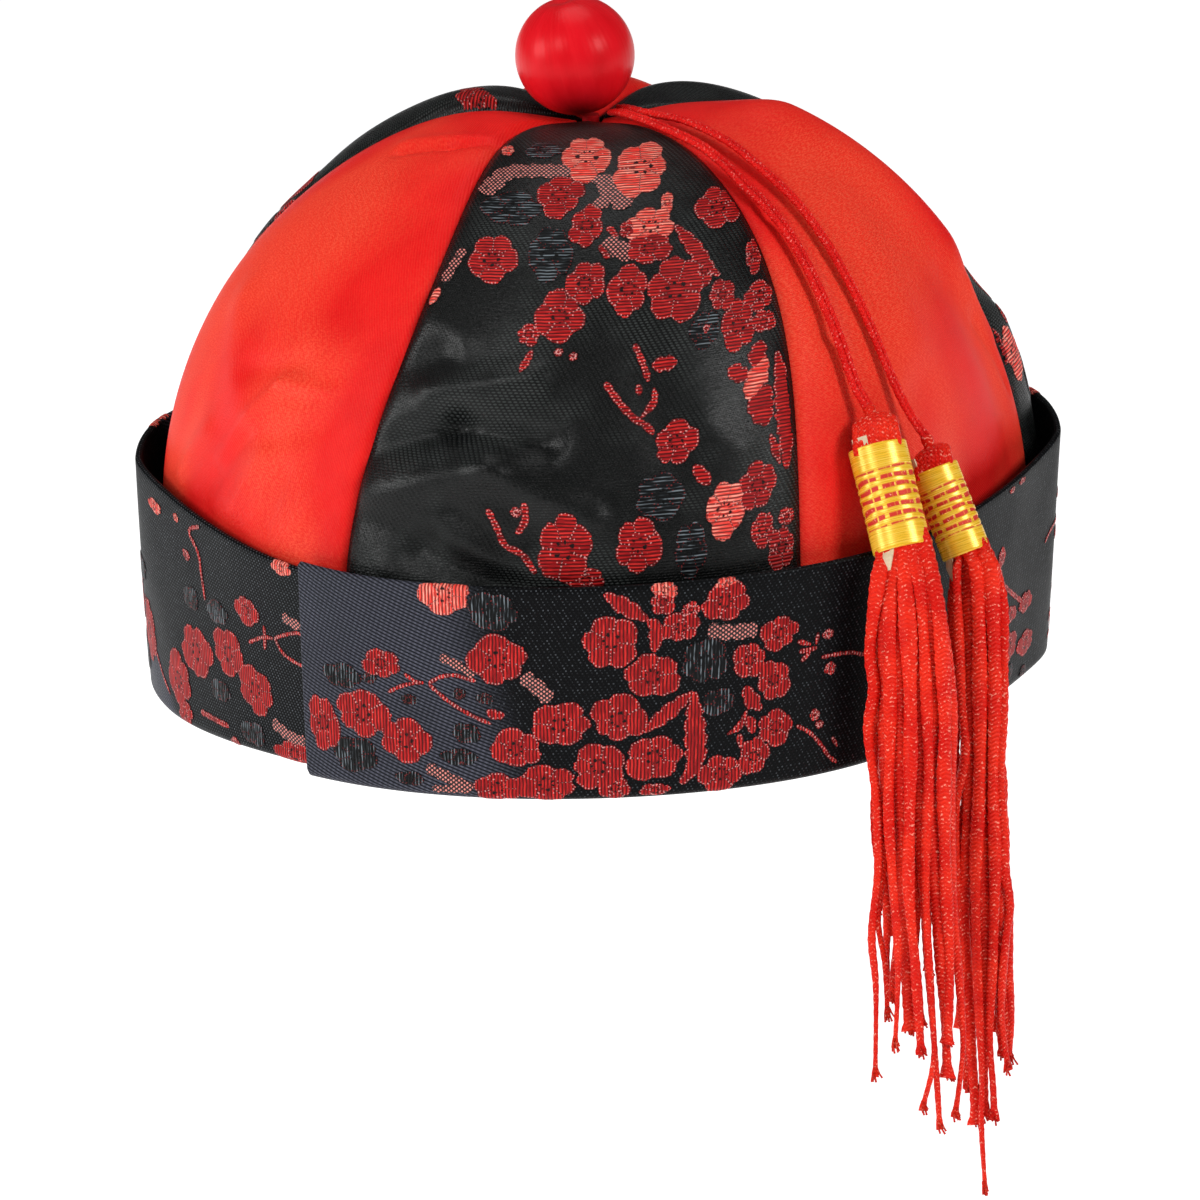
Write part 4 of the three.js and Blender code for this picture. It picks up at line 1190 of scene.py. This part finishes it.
CUFF_STRIPS = [
    ("mesh", 2, [(-35.6, 32), (-31, 30), (-28, 28)]),
    ("red", 0.9, [(-44.2, 27.4), (-41.4, 25.8), (-39.6, 25.8)]),
    ("red", 0.9, [(-48.2, 22.8), (-44.8, 24.6), (-41.4, 25.6)]),
    ("red", 0.9, [(-38.4, 25.8), (-35.6, 27.4), (-32.2, 28), (-29.2, 27.2), (-27.6, 27)]),
    ("red", 0.9, [(-38.4, 25.6), (-35, 22.8), (-31.2, 20.4), (-28, 18.8), (-24.4, 17.4)]),
    ("red", 2.4, [(-25.4, 20.4), (-23.4, 19.4), (-21.4, 19.6)]),
    ("mesh", 2.6, [(-39.4, 6.8), (-35, 5), (-29, 2.4)]),
    ("mesh", 1.6, [(-38.2, 2), (-30, 2.4)]),
    ("mesh", 3.4, [(-17.4, 28.4), (-14.4, 26), (-11.4, 23)]),
    ("red", 3.8, [(0.2, 46.6), (4, 43.8), (9.4, 40.2)]),
    ("red", 3.6, [(9.4, 40.2), (11.4, 38), (10.8, 33)]),
    ("red", 3.6, [(8.6, 15.2), (13.2, 18.6), (19.4, 23.4)]),
    ("red", 5, [(19.6, 23.4), (19.8, 18.4), (20.2, 11.6), (20, 6.8), (17, 3)]),
    ("mesh", 3.4, [(22.4, 36.8), (27.8, 35.8), (33.4, 35.8)]),
    ("red", 3.6, [(31, 23.4), (32.4, 20.4), (34.8, 17.6)]),
    ("red", 1.6, [(31.6, 18), (30, 14.6), (27.2, 13)]),
    ("red", 2.6, [(32, 16.6), (33.2, 12.6)]),
    ("red", 1.4, [(30, 12.8), (30.4, 9.6)]),
    ("red", 1.1, [(43, 31.6), (46.2, 30.4)]),
    ("red", 1.1, [(43.4, 29.2), (47.8, 29.4)]),
    ("red", 1.1, [(44, 27), (46.2, 28.8)]),
    ("red", 0.9, [(47.6, 30.2), (48, 32.8)]),
    ("red", 0.9, [(49, 27), (52.4, 27), (56.8, 26.6), (60.8, 25.2)]),
    ("red", 0.9, [(43.4, 12.8), (46.8, 10.6), (49.8, 7.4), (52, 4.4), (54.2, 2.6)]),
    ("red", 0.9, [(52.6, 8.6), (54.2, 6.2)]),
]
FAR_END_BLOSSOMS = {
    "lit": [(461.4, 43, 9, 3), (519.6, 46.6, 7, 4), (473.8, 44.4, 3, 2)],
    "red": [
        (481.2, 17.8, 16.6, 12.4), (496.6, 21, 14.6, 11.2), (507.2, 15, 15.2, 11.4),
        (505.4, 33, 10, 7.2), (470.4, 9.4, 14, 12), (473, 3, 8, 5), (520.6, 2.4, 14, 6.4),
        (478.6, 37.8, 4.2, 2.4), (497, 1, 4, 2.4),
    ],
    "dark": [(492, 29, 10, 5.4), (492, 11.6, 9.4, 5.4), (505.2, 4.4, 11, 5.6), (479.8, 29, 8.4, 5)],
}
FAR_END_STRIPS = [
    ("red", 1.1, [(482, 44.8), (481, 43), (484, 41), (485.4, 39), (486, 35.4), (487, 30.4)]),
    ("red", 1, [(482, 44.6), (486.4, 46.2)]),
    ("red", 0.9, [(505.6, 25.6), (511.4, 28.2), (515.2, 28.8)]),
    ("red", 0.9, [(515.6, 29), (521.4, 31.4), (525, 31.8), (527.4, 27)]),
    ("red", 0.9, [(515.6, 29), (518.4, 26), (524.4, 24.4), (527, 25.4)]),
    ("red", 1, [(512, 31), (511.8, 25.4)]),
    ("mesh", 2.4, [(519, 35), (522.2, 34.2), (525, 33.8)]),
    ("red", 1.3, [(481.6, 5), (487.4, 4.6), (494.8, 4.2)]),
    ("mesh", 2.8, [(513.2, 8.6), (519.6, 6.2), (524.4, 5.8)]),
    ("red", 0.8, [(448.8, 21), (451, 15.2), (456, 11.6), (460.6, 7.4), (464.6, 4.8)]),
]
LEFT_SIDE_BLOSSOMS = {
    "red": [
        (115.6, 32.6, 4.4, 4.8), (133, 17.8, 8, 4.8), (123.8, 17.6, 8, 4), (123.6, 10.8, 10.4, 7),
        (134.8, 8.4, 10.4, 6), (125.6, 46.6, 4, 1.6), (119.6, 46.4, 3.4, 1.6), (95.9, 25, 4, 4),
    ],
    "dark": [(125, 4.6, 5.4, 4), (134.4, 2.4, 4.4, 3), (93.9, 12, 5, 5)],
}
LEFT_SIDE_STRIPS = [
    ("red", 1.2, [(115.6, 30), (118, 26), (127, 20.6), (134, 17)]),
]
CUFF_REPEATS = [
    {"shift": (205, 2), "mirror": -1}, {"shift": (298, -3), "mirror": 1},
    {"shift": (386, 1), "mirror": -1},
]
# The gores behind repeat the lower part of the front gore, and have a few motifs above it.
REPEAT_TOP = 112
GORE_REPEATS = {
    "back_left": {"shift": (-4, 6), "mirror": -1},
    "back_right": {"shift": (2, 4), "mirror": 1},
}
TOP_CHARTS = {
    "back_left": ({"dark": [(8, 128, 9, 12)]}, []),
    "back_right": (
        {"red": [(9, 160, 9, 9), (4, 157, 5, 6)], "dark": [(-8, 132, 10, 12)]},
        [("red", 1.2, [(12, 163), (18, 165)])],
    ),
}


def weave_front():
    """The chart of the front gore."""
    weave = Weave(CROWN["front"], False, 5)
    weave.chart(FRONT_BLOSSOMS, FRONT_STRIPS)
    weave.make("front_gore_motifs", "black_brocade")


def weave_back():
    """The black gores behind, each with its own part of the front gore's chart."""
    for name, placed in GORE_REPEATS.items():
        weave = Weave(CROWN[name], False, 11)
        weave.chart(FRONT_BLOSSOMS, FRONT_STRIPS, **placed, top=REPEAT_TOP)
        weave.chart(*TOP_CHARTS[name])
        weave.make(f"{name}_gore_motifs", "black_brocade")


def weave_cuff():
    """The cuff: its front, its far end on the wearer's right, its left side and its back."""
    weave = Weave(CUFF, True, 3)
    weave.chart(CUFF_BLOSSOMS, CUFF_STRIPS)
    weave.chart(FAR_END_BLOSSOMS, FAR_END_STRIPS)
    weave.chart(LEFT_SIDE_BLOSSOMS, LEFT_SIDE_STRIPS)
    for placed in CUFF_REPEATS:
        weave.chart(CUFF_BLOSSOMS, CUFF_STRIPS, **placed)
    weave.make("cuff_motifs", "cuff_brocade")


weave_front()
weave_back()
weave_cuff()

# ---- Ball -----------------------------------------------------------------------------

BALL_RADIUS = 13.2
BALL_CENTRE = (-2.4, -0.2, 142.4)
BALL_COLUMNS = 217
BALL_ROWS = 110
BALL_POLE = 0.004
THREAD_RIDGES = 54
THREAD_RISE = 0.012
DIMPLE_RADIUS = 2.6
DIMPLE_DEPTH = 1.1


def make_ball():
    """A bead wound with thread from pole to pole, which leaves a dimple at its top."""
    axis = unit(np.subtract(BALL_CENTRE, EYELET_CENTRE))
    side = unit(np.cross(axis, (0, -1, 0)))
    forwards = np.cross(axis, side)
    down = np.linspace(BALL_POLE, math.pi - BALL_POLE, BALL_ROWS)[:, None]
    around = np.linspace(0, TURN, BALL_COLUMNS)[None, :]
    reach = np.sin(down) * BALL_RADIUS
    ridge = np.sin(THREAD_RIDGES * around + 0.8 * np.sin(3 * down)) * np.minimum(1, reach / 5)
    dimple = DIMPLE_DEPTH * np.exp(-((reach / DIMPLE_RADIUS) ** 2)) * (down < QUARTER)
    radius = BALL_RADIUS + THREAD_RISE * ridge - dimple
    spread = np.sin(down) * radius
    points = (
        np.asarray(BALL_CENTRE)
        + side * (spread * np.cos(around))[..., None]
        + forwards * (spread * np.sin(around))[..., None]
        + axis * (np.cos(down) * radius)[..., None]
    )
    wound = pairs(np.cos(around), np.sin(around) + 0 * down)
    mesh = Mesh()
    faces = grid_faces(BALL_ROWS, BALL_COLUMNS, flipped=True)
    mesh.add(points, faces, Wound=wound, Down=pairs(down, 0 * around))
    mesh.make("wound_ball", [make_ball_thread()], "button_thread", ["top_button"])


def finish_shank():
    """The shank under the ball keeps its own mesh, in duller thread."""
    finish = Finish("shank_thread", Specular_IOR_Level=0.15)
    tone = finish.noise(finish.place(), 1.5, 2, 0.6)
    finish.feed("Base Color", finish.mix(tone, (0.4, 0.003, 0.006), (0.6, 0.008, 0.012)))
    finish.feed("Roughness", tone * 0.2 + 0.4)
    finish.bump(tone, 0.06)
    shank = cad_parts["button_shank"]
    shank.data.materials.clear()
    shank.data.materials.append(finish.material)


make_ball()
finish_shank()

# ---- Tassels --------------------------------------------------------------------------

# card: the angles on the neck's oval between which it lies, and how far it shows past the gold.
# hang: height by height, the middle (x, y, z), half width and half depth of the hanging yarn.
# bands: how far the close gold reaches down from the top and up from the bottom, and
# windings: how many turns lie between.
# layers: how many strands hang in each layer behind, and how far outwards it is, and
# ends: the heights between which those strands end.
TASSELS = {
    "tassel_1": {
        "cord": "cord_1",
        "crest": (59.6, -62.6, 76.4), "collar": (60.1, -66.9, 69.6), "waist": (64.7, -77.2, 49.3),
        "half_width": 6.4, "half_depth": 5.2,
        "card": {"from_angle": 110, "to_angle": 152, "above": 2.2, "below": 4.4},
        "hang": [
            (65.6, -80.2, 39, 7.4, 5.2), (65.2, -81.2, 15, 8.6, 5.6), (64.4, -81.2, -8, 9, 5.8),
            (65, -81, -42, 9.2, 5.8), (66, -81, -68, 8.6, 5.6), (67, -81, -82, 7, 4),
        ],
        "bands": (5.7, 4.7), "windings": 6,
        "layers": [(7, 0.3), (6, -0.4)], "ends": (-30, -66),
    },
    "tassel_2": {
        "cord": "cord_2",
        "crest": (72.3, -55.2, 66.4), "collar": (72.5, -57.8, 61.6), "waist": (79, -63.8, 44),
        "half_width": 5.4, "half_depth": 4.6,
        "card": {"from_angle": 134, "to_angle": 182, "above": 3.4, "below": 4.6},
        "hang": [
            (79.8, -65.4, 33, 6.2, 5), (80.2, -65.8, 10, 6.8, 5.2), (80.2, -65.8, -12, 6.8, 5.4),
            (80.9, -66.2, -47, 7.4, 5.6), (81.6, -66.4, -78, 6.6, 5.2),
            (81.2, -66.4, -96, 5, 3.4),
        ],
        "bands": (4.4, 4.2), "windings": 6,
        "layers": [(5, 0.3), (5, -0.4)], "ends": (-40, -82),
    },
}
# The strands in front, from left to right: half width at the top and at the end, and the
# places (x, z) they pass.
STRANDS = {
    "tassel_1": [
        (1.25, 0.45, [(59, 44), (57, 29), (57.7, 20.6), (56.2, 10.4), (57.6, -5), (57.5, -20),
                      (55.8, -35.4), (56.4, -48), (55.8, -68.4)]),
        (1.3, 0.5, [(60.6, 39), (59.6, 16), (59.2, -6.6), (58.2, -22), (57.3, -33), (58.6, -43),
                    (58.8, -55)]),
        (1.4, 0.5, [(61.4, 34), (60.9, 12), (60.1, -6.6), (60.6, -22), (61.4, -38), (61, -50),
                    (60.2, -61.6)]),
        (1.5, 1.2, [(63, 39), (63, 16), (62.8, -6.6), (62.9, -25), (63.2, -43), (63.7, -58)]),
        (1.5, 0.9, [(65.1, 39), (65.3, 16), (64.6, -7), (64, -25), (65.1, -43), (65.9, -63)]),
        (1.5, 0.5, [(67.3, 39), (67.7, 16), (66.8, -7), (67.4, -29), (68.4, -52), (69.1, -67),
                    (69.7, -81.6)]),
        (1.2, 0.5, [(68.4, 38), (69, 4), (67.8, -20), (68, -43), (68.7, -63), (65.8, -76.4)]),
        (1.5, 1.1, [(69.6, 39), (70.3, 16), (69.4, -7), (70, -29), (71.2, -52), (71.6, -69.4)]),
        (1.5, 1, [(72, 37), (72.8, 16), (72.2, -4.4), (72.2, -25), (72.6, -43), (71.6, -61)]),
        (1.4, 0.5, [(73, 30), (74, 16), (73.9, 2.4), (73.4, -18), (74.3, -41), (75.2, -60),
                    (74.4, -69.6), (73, -79)]),
    ],
    "tassel_2": [
        (0.9, 0.7, [(76.6, 40), (77.1, 13), (77.5, 0.4), (75.5, -10), (75, -21), (75, -33),
                    (75.8, -47), (74.6, -63)]),
        (1.4, 1.1, [(79.3, 34), (79.2, 12), (78.5, 3), (78.4, -8), (77.4, -25), (76.6, -33),
                    (77, -51), (77.6, -69), (78.3, -86)]),
        (1.5, 0.45, [(81.1, 39), (81.1, 12), (80.3, -10), (79.2, -28), (79.1, -51), (79.6, -74),
                     (79.3, -86), (79.9, -101.6)]),
        (1.5, 1.1, [(82.6, 40), (82.6, 12), (81.6, -10), (80.9, -33), (80.9, -56), (80.2, -69),
                    (79.9, -84)]),
        (1.5, 0.7, [(84.1, 39), (84.4, 12), (83.5, -8), (83.6, -24), (82.7, -44), (81.5, -63),
                    (82, -76), (82.2, -84.6)]),
        (1.3, 0.9, [(85.4, 37), (85.5, 17), (84.4, -2.6), (84.6, -22), (84, -44), (84.1, -63),
                    (84.8, -70)]),
        (1.2, 0.7, [(86, 35), (86.1, 17), (85, -2.6), (85.6, -17), (85.6, -26), (86.7, -35),
                    (85.5, -43), (84.3, -56), (84.6, -65), (85.5, -73)]),
    ],
}
OVAL_FLATNESS = 0.6
STRAND_STEP = 1.0
STRAND_SIDES = 8
LOOSE_STEP = 7
FRAY_COUNT = 9
FRAY_SIDES = 4
CREST_STRANDS = 9
CREST_POINTS = 60
WINDING_ROWS = 150
WINDING_COLUMNS = 73
WINDING_TURN_IN = 1.6
CARD_COLUMNS = 9
CARD_THICKNESS = 0.4


class Tassel:
    """A tassel's own directions: down its neck, across the wearer's front, and outwards."""

    def __init__(self, name):
        self.name = name
        self.__dict__.update(TASSELS[name])
        self.collar, self.waist, self.crest, self.hang = (
            np.array(places, float) for places in (self.collar, self.waist, self.crest, self.hang))
        self.neck = np.linalg.norm(self.waist - self.collar)
        self.down = unit(self.waist - self.collar)
        self.side = unit(np.array([1, 0, 0]) - self.down * self.down[0])
        self.out = np.cross(self.down, self.side)

    def oval(self, angle, below, margin):
        """Places on the neck's oval, at an angle, below the collar, a margin further out."""
        angle, below, margin = np.broadcast_arrays(angle, below, margin)
        wide = ((self.half_width + margin) * np.cos(angle))[..., None]
        deep = ((self.half_depth + margin) * np.sin(angle))[..., None]
        return self.collar + self.down * below[..., None] + self.side * wide + self.out * deep

    def hang_at(self, heights):
        """The x and y of the yarn's middle at heights, and its half width and half depth."""
        return [np.interp(-heights, -self.hang[:, 2], self.hang[:, column])
                for column in (0, 1, 3, 4)]

    def strand_line(self, places, outward):
        """A strand through (x, z) places, out of the winding and down to its end."""
        places = np.array(places, float)
        across = (places[0, 0] - self.hang[0, 0]) / (self.half_width + 0.6)
        across = float(np.clip(across, -0.94, 0.94))
        rounded = math.sqrt(1 - OVAL_FLATNESS * across ** 2)

        # Two places inside the winding: how far below the waist, and how far in from the neck.
        inside = [
            self.waist + self.down * below + self.side * across * (self.half_width - tuck)
            + self.out * outward * rounded * (self.half_depth - tuck)
            for below, tuck in ((-3, 1.9), (1.2, 1.5))
        ]
        centre, middle, wide, depth = self.hang_at(places[:, 1])
        bent = np.clip((places[:, 0] - centre) / (wide + 1), -0.9, 0.9)
        y = middle - outward * depth * np.sqrt(1 - OVAL_FLATNESS * bent ** 2)
        outside = np.stack([places[:, 0], y, places[:, 1]], -1)
        return curve_through([*inside, *outside], STRAND_STEP)

    def loose_places(self, across, end, chance):
        """(x, z) places of a strand that hangs by itself behind the others."""
        heights = np.arange(self.hang[0, 2], end, -LOOSE_STEP)
        centre, _, wide, _ = self.hang_at(heights)
        fallen = (heights[0] - heights) / 100
        phase = chance.uniform(0, TURN)
        sway = across + 0.1 * np.sin(fallen * 8 + phase) + 0.05 * np.sin(fallen * 23 + phase * 3)
        return np.stack([centre + np.clip(sway, -0.9, 0.9) * wide, heights], -1)


def make_fringe(tassel, seed):
    """Knitted strands: those in front as charted, the others hanging in layers behind."""
    chance = random.Random(seed)
    mesh = Mesh()
    strands = [(0.95 - 0.3 * (number % 2), top, low, places)
               for number, (top, low, places) in enumerate(STRANDS[tassel.name])]
    for count, outward in tassel.layers:
        for number in range(count):
            across = (number + 0.5) / count * 1.7 - 0.85
            places = tassel.loose_places(across, chance.uniform(*tassel.ends), chance)
            strands.append((outward, 1.25, 0.7, places))
    for outward, top, low, places in strands:
        line = tassel.strand_line(places, outward)
        share = distances(line) / distances(line)[-1]
        phase = chance.uniform(0, TURN)
        body = 1.3 * top + (low - 1.3 * top) * share ** 1.3
        body = body * (1 + 0.12 * np.sin(share * 27 + phase))
        flare = 1 + 0.7 * np.exp(-((1 - share) / 0.015) ** 2)
        twist = phase + share * chance.uniform(3, 7)
        outwards = np.stack([0.5 * np.sin(twist), -np.ones_like(twist), 0 * twist], -1)
        add_strand(mesh, line, outwards, body * flare, 0.5 * body / flare, STRAND_SIDES,
                   offset=chance.uniform(0, 1.6))
        add_frayed_end(mesh, line, chance)
    mesh.make(f"{tassel.name}_fringe", [TASSEL_KNIT], "tassel_yarn", [f"{tassel.name}_yarn"])


def add_frayed_end(mesh, line, chance):
    """Loose fibres where a strand is cut."""
    for _ in range(FRAY_COUNT):
        start = line[-3] + [chance.uniform(-0.5, 0.5), chance.uniform(-0.3, 0.3), 0.4]
        lean = [chance.uniform(-0.35, 0.35), chance.uniform(-0.2, 0.2), -1]
        length = chance.uniform(1.6, 3.8)
        fibre = curve_through([start, start + np.multiply(lean, length * 0.5),
                               start + np.multiply(lean, length) + [0.3, 0, 0.2]], 0.9)
        add_strand(mesh, fibre, (0, -1, 0), 0.22, 0.2, FRAY_SIDES)


def make_crest(tassel):
    """Strands laid over the top of the yarn, side by side, and caught under the winding."""
    mesh = Mesh()
    rise = np.linalg.norm(tassel.crest - tassel.collar) - 0.9
    lean = unit(tassel.crest - tassel.collar)
    width, depth = tassel.half_width - 1.2, tassel.half_depth - 1.5
    turn = np.linspace(-0.4, math.pi + 0.4, CREST_POINTS)
    up = np.sin(turn)
    for number in range(CREST_STRANDS):
        across = (number + 0.5) / CREST_STRANDS * 2 - 1
        shrink = math.sqrt(1 - 0.5 * across ** 2)
        high = np.where(up > 0, rise * shrink * np.abs(up) ** 0.8, 4 * up)
        line = (
            tassel.collar
            + tassel.side * (across * width * (1 - 0.1 * np.maximum(up, 0)))[:, None]
            + tassel.out * (depth * shrink * np.cos(turn))[:, None]
            + lean * high[:, None]
        )
        line = curve_through(line, 0.5)
        outwards = unit(line - tassel.collar + tassel.down * 2)
        add_strand(mesh, line, outwards, 0.95, 0.75, CORD_SIDES, offset=number * 0.37)

    # One more strand leads from the end of the cord into the crest.
    start = np.array(CORDS[tassel.cord]["route"][-1])
    inside = tassel.collar + 0.5 * (tassel.crest - tassel.collar)
    neck = curve_through([start, start * 0.5 + inside * 0.5 + tassel.out * 0.8, inside], 0.4)
    add_strand(mesh, neck, tassel.out, 1.3, 0.9, CORD_SIDES)
    mesh.make(f"{tassel.name}_crest_strands", [TASSEL_KNIT], "tassel_yarn")


def make_winding(tassel):
    """Gold thread: a close band at each end, and turns that part over the yarn between."""
    top, bottom = tassel.bands
    angle = np.linspace(0, TURN, WINDING_COLUMNS)[None, :]
    below = np.linspace(0, tassel.neck, WINDING_ROWS)[:, None]
    pitch = (tassel.neck - top - bottom) / tassel.windings
    sloped = below + 0.35 * np.sin(angle + 0.6) + 0.15 * np.sin(3 * angle + below)
    between = np.minimum(smooth_step(sloped, top - 0.2, top + 0.3),
                         1 - smooth_step(sloped, tassel.neck - bottom - 0.3, tassel.neck - bottom))
    wave = np.cos((sloped - top) / pitch * TURN + 0.35 * np.sin(5 * angle + below))
    part = smooth_step(wave, -0.15, 0.35) * between
    rounded = np.minimum(1, np.minimum(below, tassel.neck - below) / 0.4) ** 0.5
    thread = np.abs(np.sin(below / GOLD_PITCH * math.pi))
    margin = 0.1 * rounded - 0.08 - 0.16 * part + 0.005 * thread
    points = tassel.oval(angle, below, margin)
    round_neck = angle * (tassel.half_width + tassel.half_depth) / 2
    faces = grid_faces(WINDING_ROWS, WINDING_COLUMNS, flipped=True)
    mesh = Mesh()
    mesh.add(points, faces, Yarn=pairs(round_neck, below), Part=pairs(part, 0))

    # The gold turns in at both ends.
    rim = np.array([0, 0.5, 1])[:, None]
    for row, inwards in ((0, False), (-1, True)):
        inner = tassel.oval(angle, below[row], margin[row] - WINDING_TURN_IN * rim)
        layer = pairs(round_neck, below[row] + rim)
        faces = grid_faces(len(rim), WINDING_COLUMNS, flipped=inwards)
        mesh.add(inner, faces, Yarn=layer, Part=0 * layer)
    mesh.make(f"{tassel.name}_gold_turns", [GOLD], "gold_winding", [f"{tassel.name}_winding"])


def make_card(tassel):
    """The stiffener's card: it shows above the winding and as a point below it."""
    card = tassel.card
    neck = tassel.neck
    first, last = math.radians(card["from_angle"]), math.radians(card["to_angle"])

    # Row by row: how far below the collar, the share of the width, and how far outside the neck.
    below, share, margin = np.array([
        (-card["above"], 1, -0.5), (0, 1, -0.6), (neck / 2, 1, -1.15), (neck, 1, -0.6),
        (neck + 1.5, 0.8, 0), (neck + card["below"], 0.16, 0.1),
    ]).T[..., None]
    across = np.linspace(1, -1, CARD_COLUMNS)[None, :]
    angle = (first + last) / 2 + (last - first) / 2 * share * across
    mesh = Mesh()
    outside = tassel.oval(angle, below, margin)
    inside = tassel.oval(angle, below, margin - CARD_THICKNESS)
    add_shell(mesh, outside, inside, len(below), CARD_COLUMNS, pairs(below, angle))
    mesh.make(f"{tassel.name}_card", [CARD], "stiffener_card", [f"{tassel.name}_stiffener"],
              smooth=False)


for fringe_seed, tassel_name in enumerate(TASSELS, 21):
    tassel = Tassel(tassel_name)
    make_fringe(tassel, fringe_seed)
    make_crest(tassel)
    make_winding(tassel)
    make_card(tassel)

# ---- Light and floor ------------------------------------------------------------------

FLOOR_HEIGHT = -112
FLOOR_REACH = 6000
WORLD_STRENGTH = 0.08

# Each light: its place, its size in metres and its power.
LIGHTS = {
    "key_light": ((-900, -1200, 1100), 0.6, 9),
    "low_light": ((-1650, -450, 600), 0.8, 15),
    "side_light": ((1200, -900, 900), 0.6, 14),
    "top_light": ((0, 300, 1700), 1.2, 9),
}


def make_light(name, place, size, power):
    """A round soft light that shines at the heart of the crown."""
    light = bpy.data.lights.new(name, "AREA")
    light.shape = "DISK"
    light.size = size
    light.energy = power
    lamp = bpy.data.objects.new(name, light)
    bpy.context.collection.objects.link(lamp)
    lamp.location = Vector(place) * MM
    direction = (Vector(CROWN_HEART) - Vector(place)).normalized()
    lamp.rotation_euler = direction.to_track_quat("-Z", "Y").to_euler()


def make_floor():
    """A wide pale floor below the tassels, which isn't part of the hat."""
    reach, height = FLOOR_REACH * MM, FLOOR_HEIGHT * MM
    sides = [(-reach, -reach), (reach, -reach), (reach, reach), (-reach, reach)]
    mesh = bpy.data.meshes.new("floor")
    mesh.from_pydata([(x, y, height) for x, y in sides], [], [[0, 1, 2, 3]])
    mesh.materials.append(make_floor_finish())
    floor = bpy.data.objects.new("floor", mesh)
    bpy.context.collection.objects.link(floor)


def make_surroundings():
    """Dim white surroundings, the lights and the floor."""
    world = bpy.data.worlds.new("studio")
    bpy.context.scene.world = world
    world.use_nodes = True
    background = world.node_tree.nodes["Background"]
    background.inputs["Color"].default_value = (1, 1, 1, 1)
    background.inputs["Strength"].default_value = WORLD_STRENGTH
    for name, (place, size, power) in LIGHTS.items():
        make_light(name, place, size, power)
    make_floor()
    bpy.context.scene.view_settings.view_transform = "Standard"


make_surroundings()
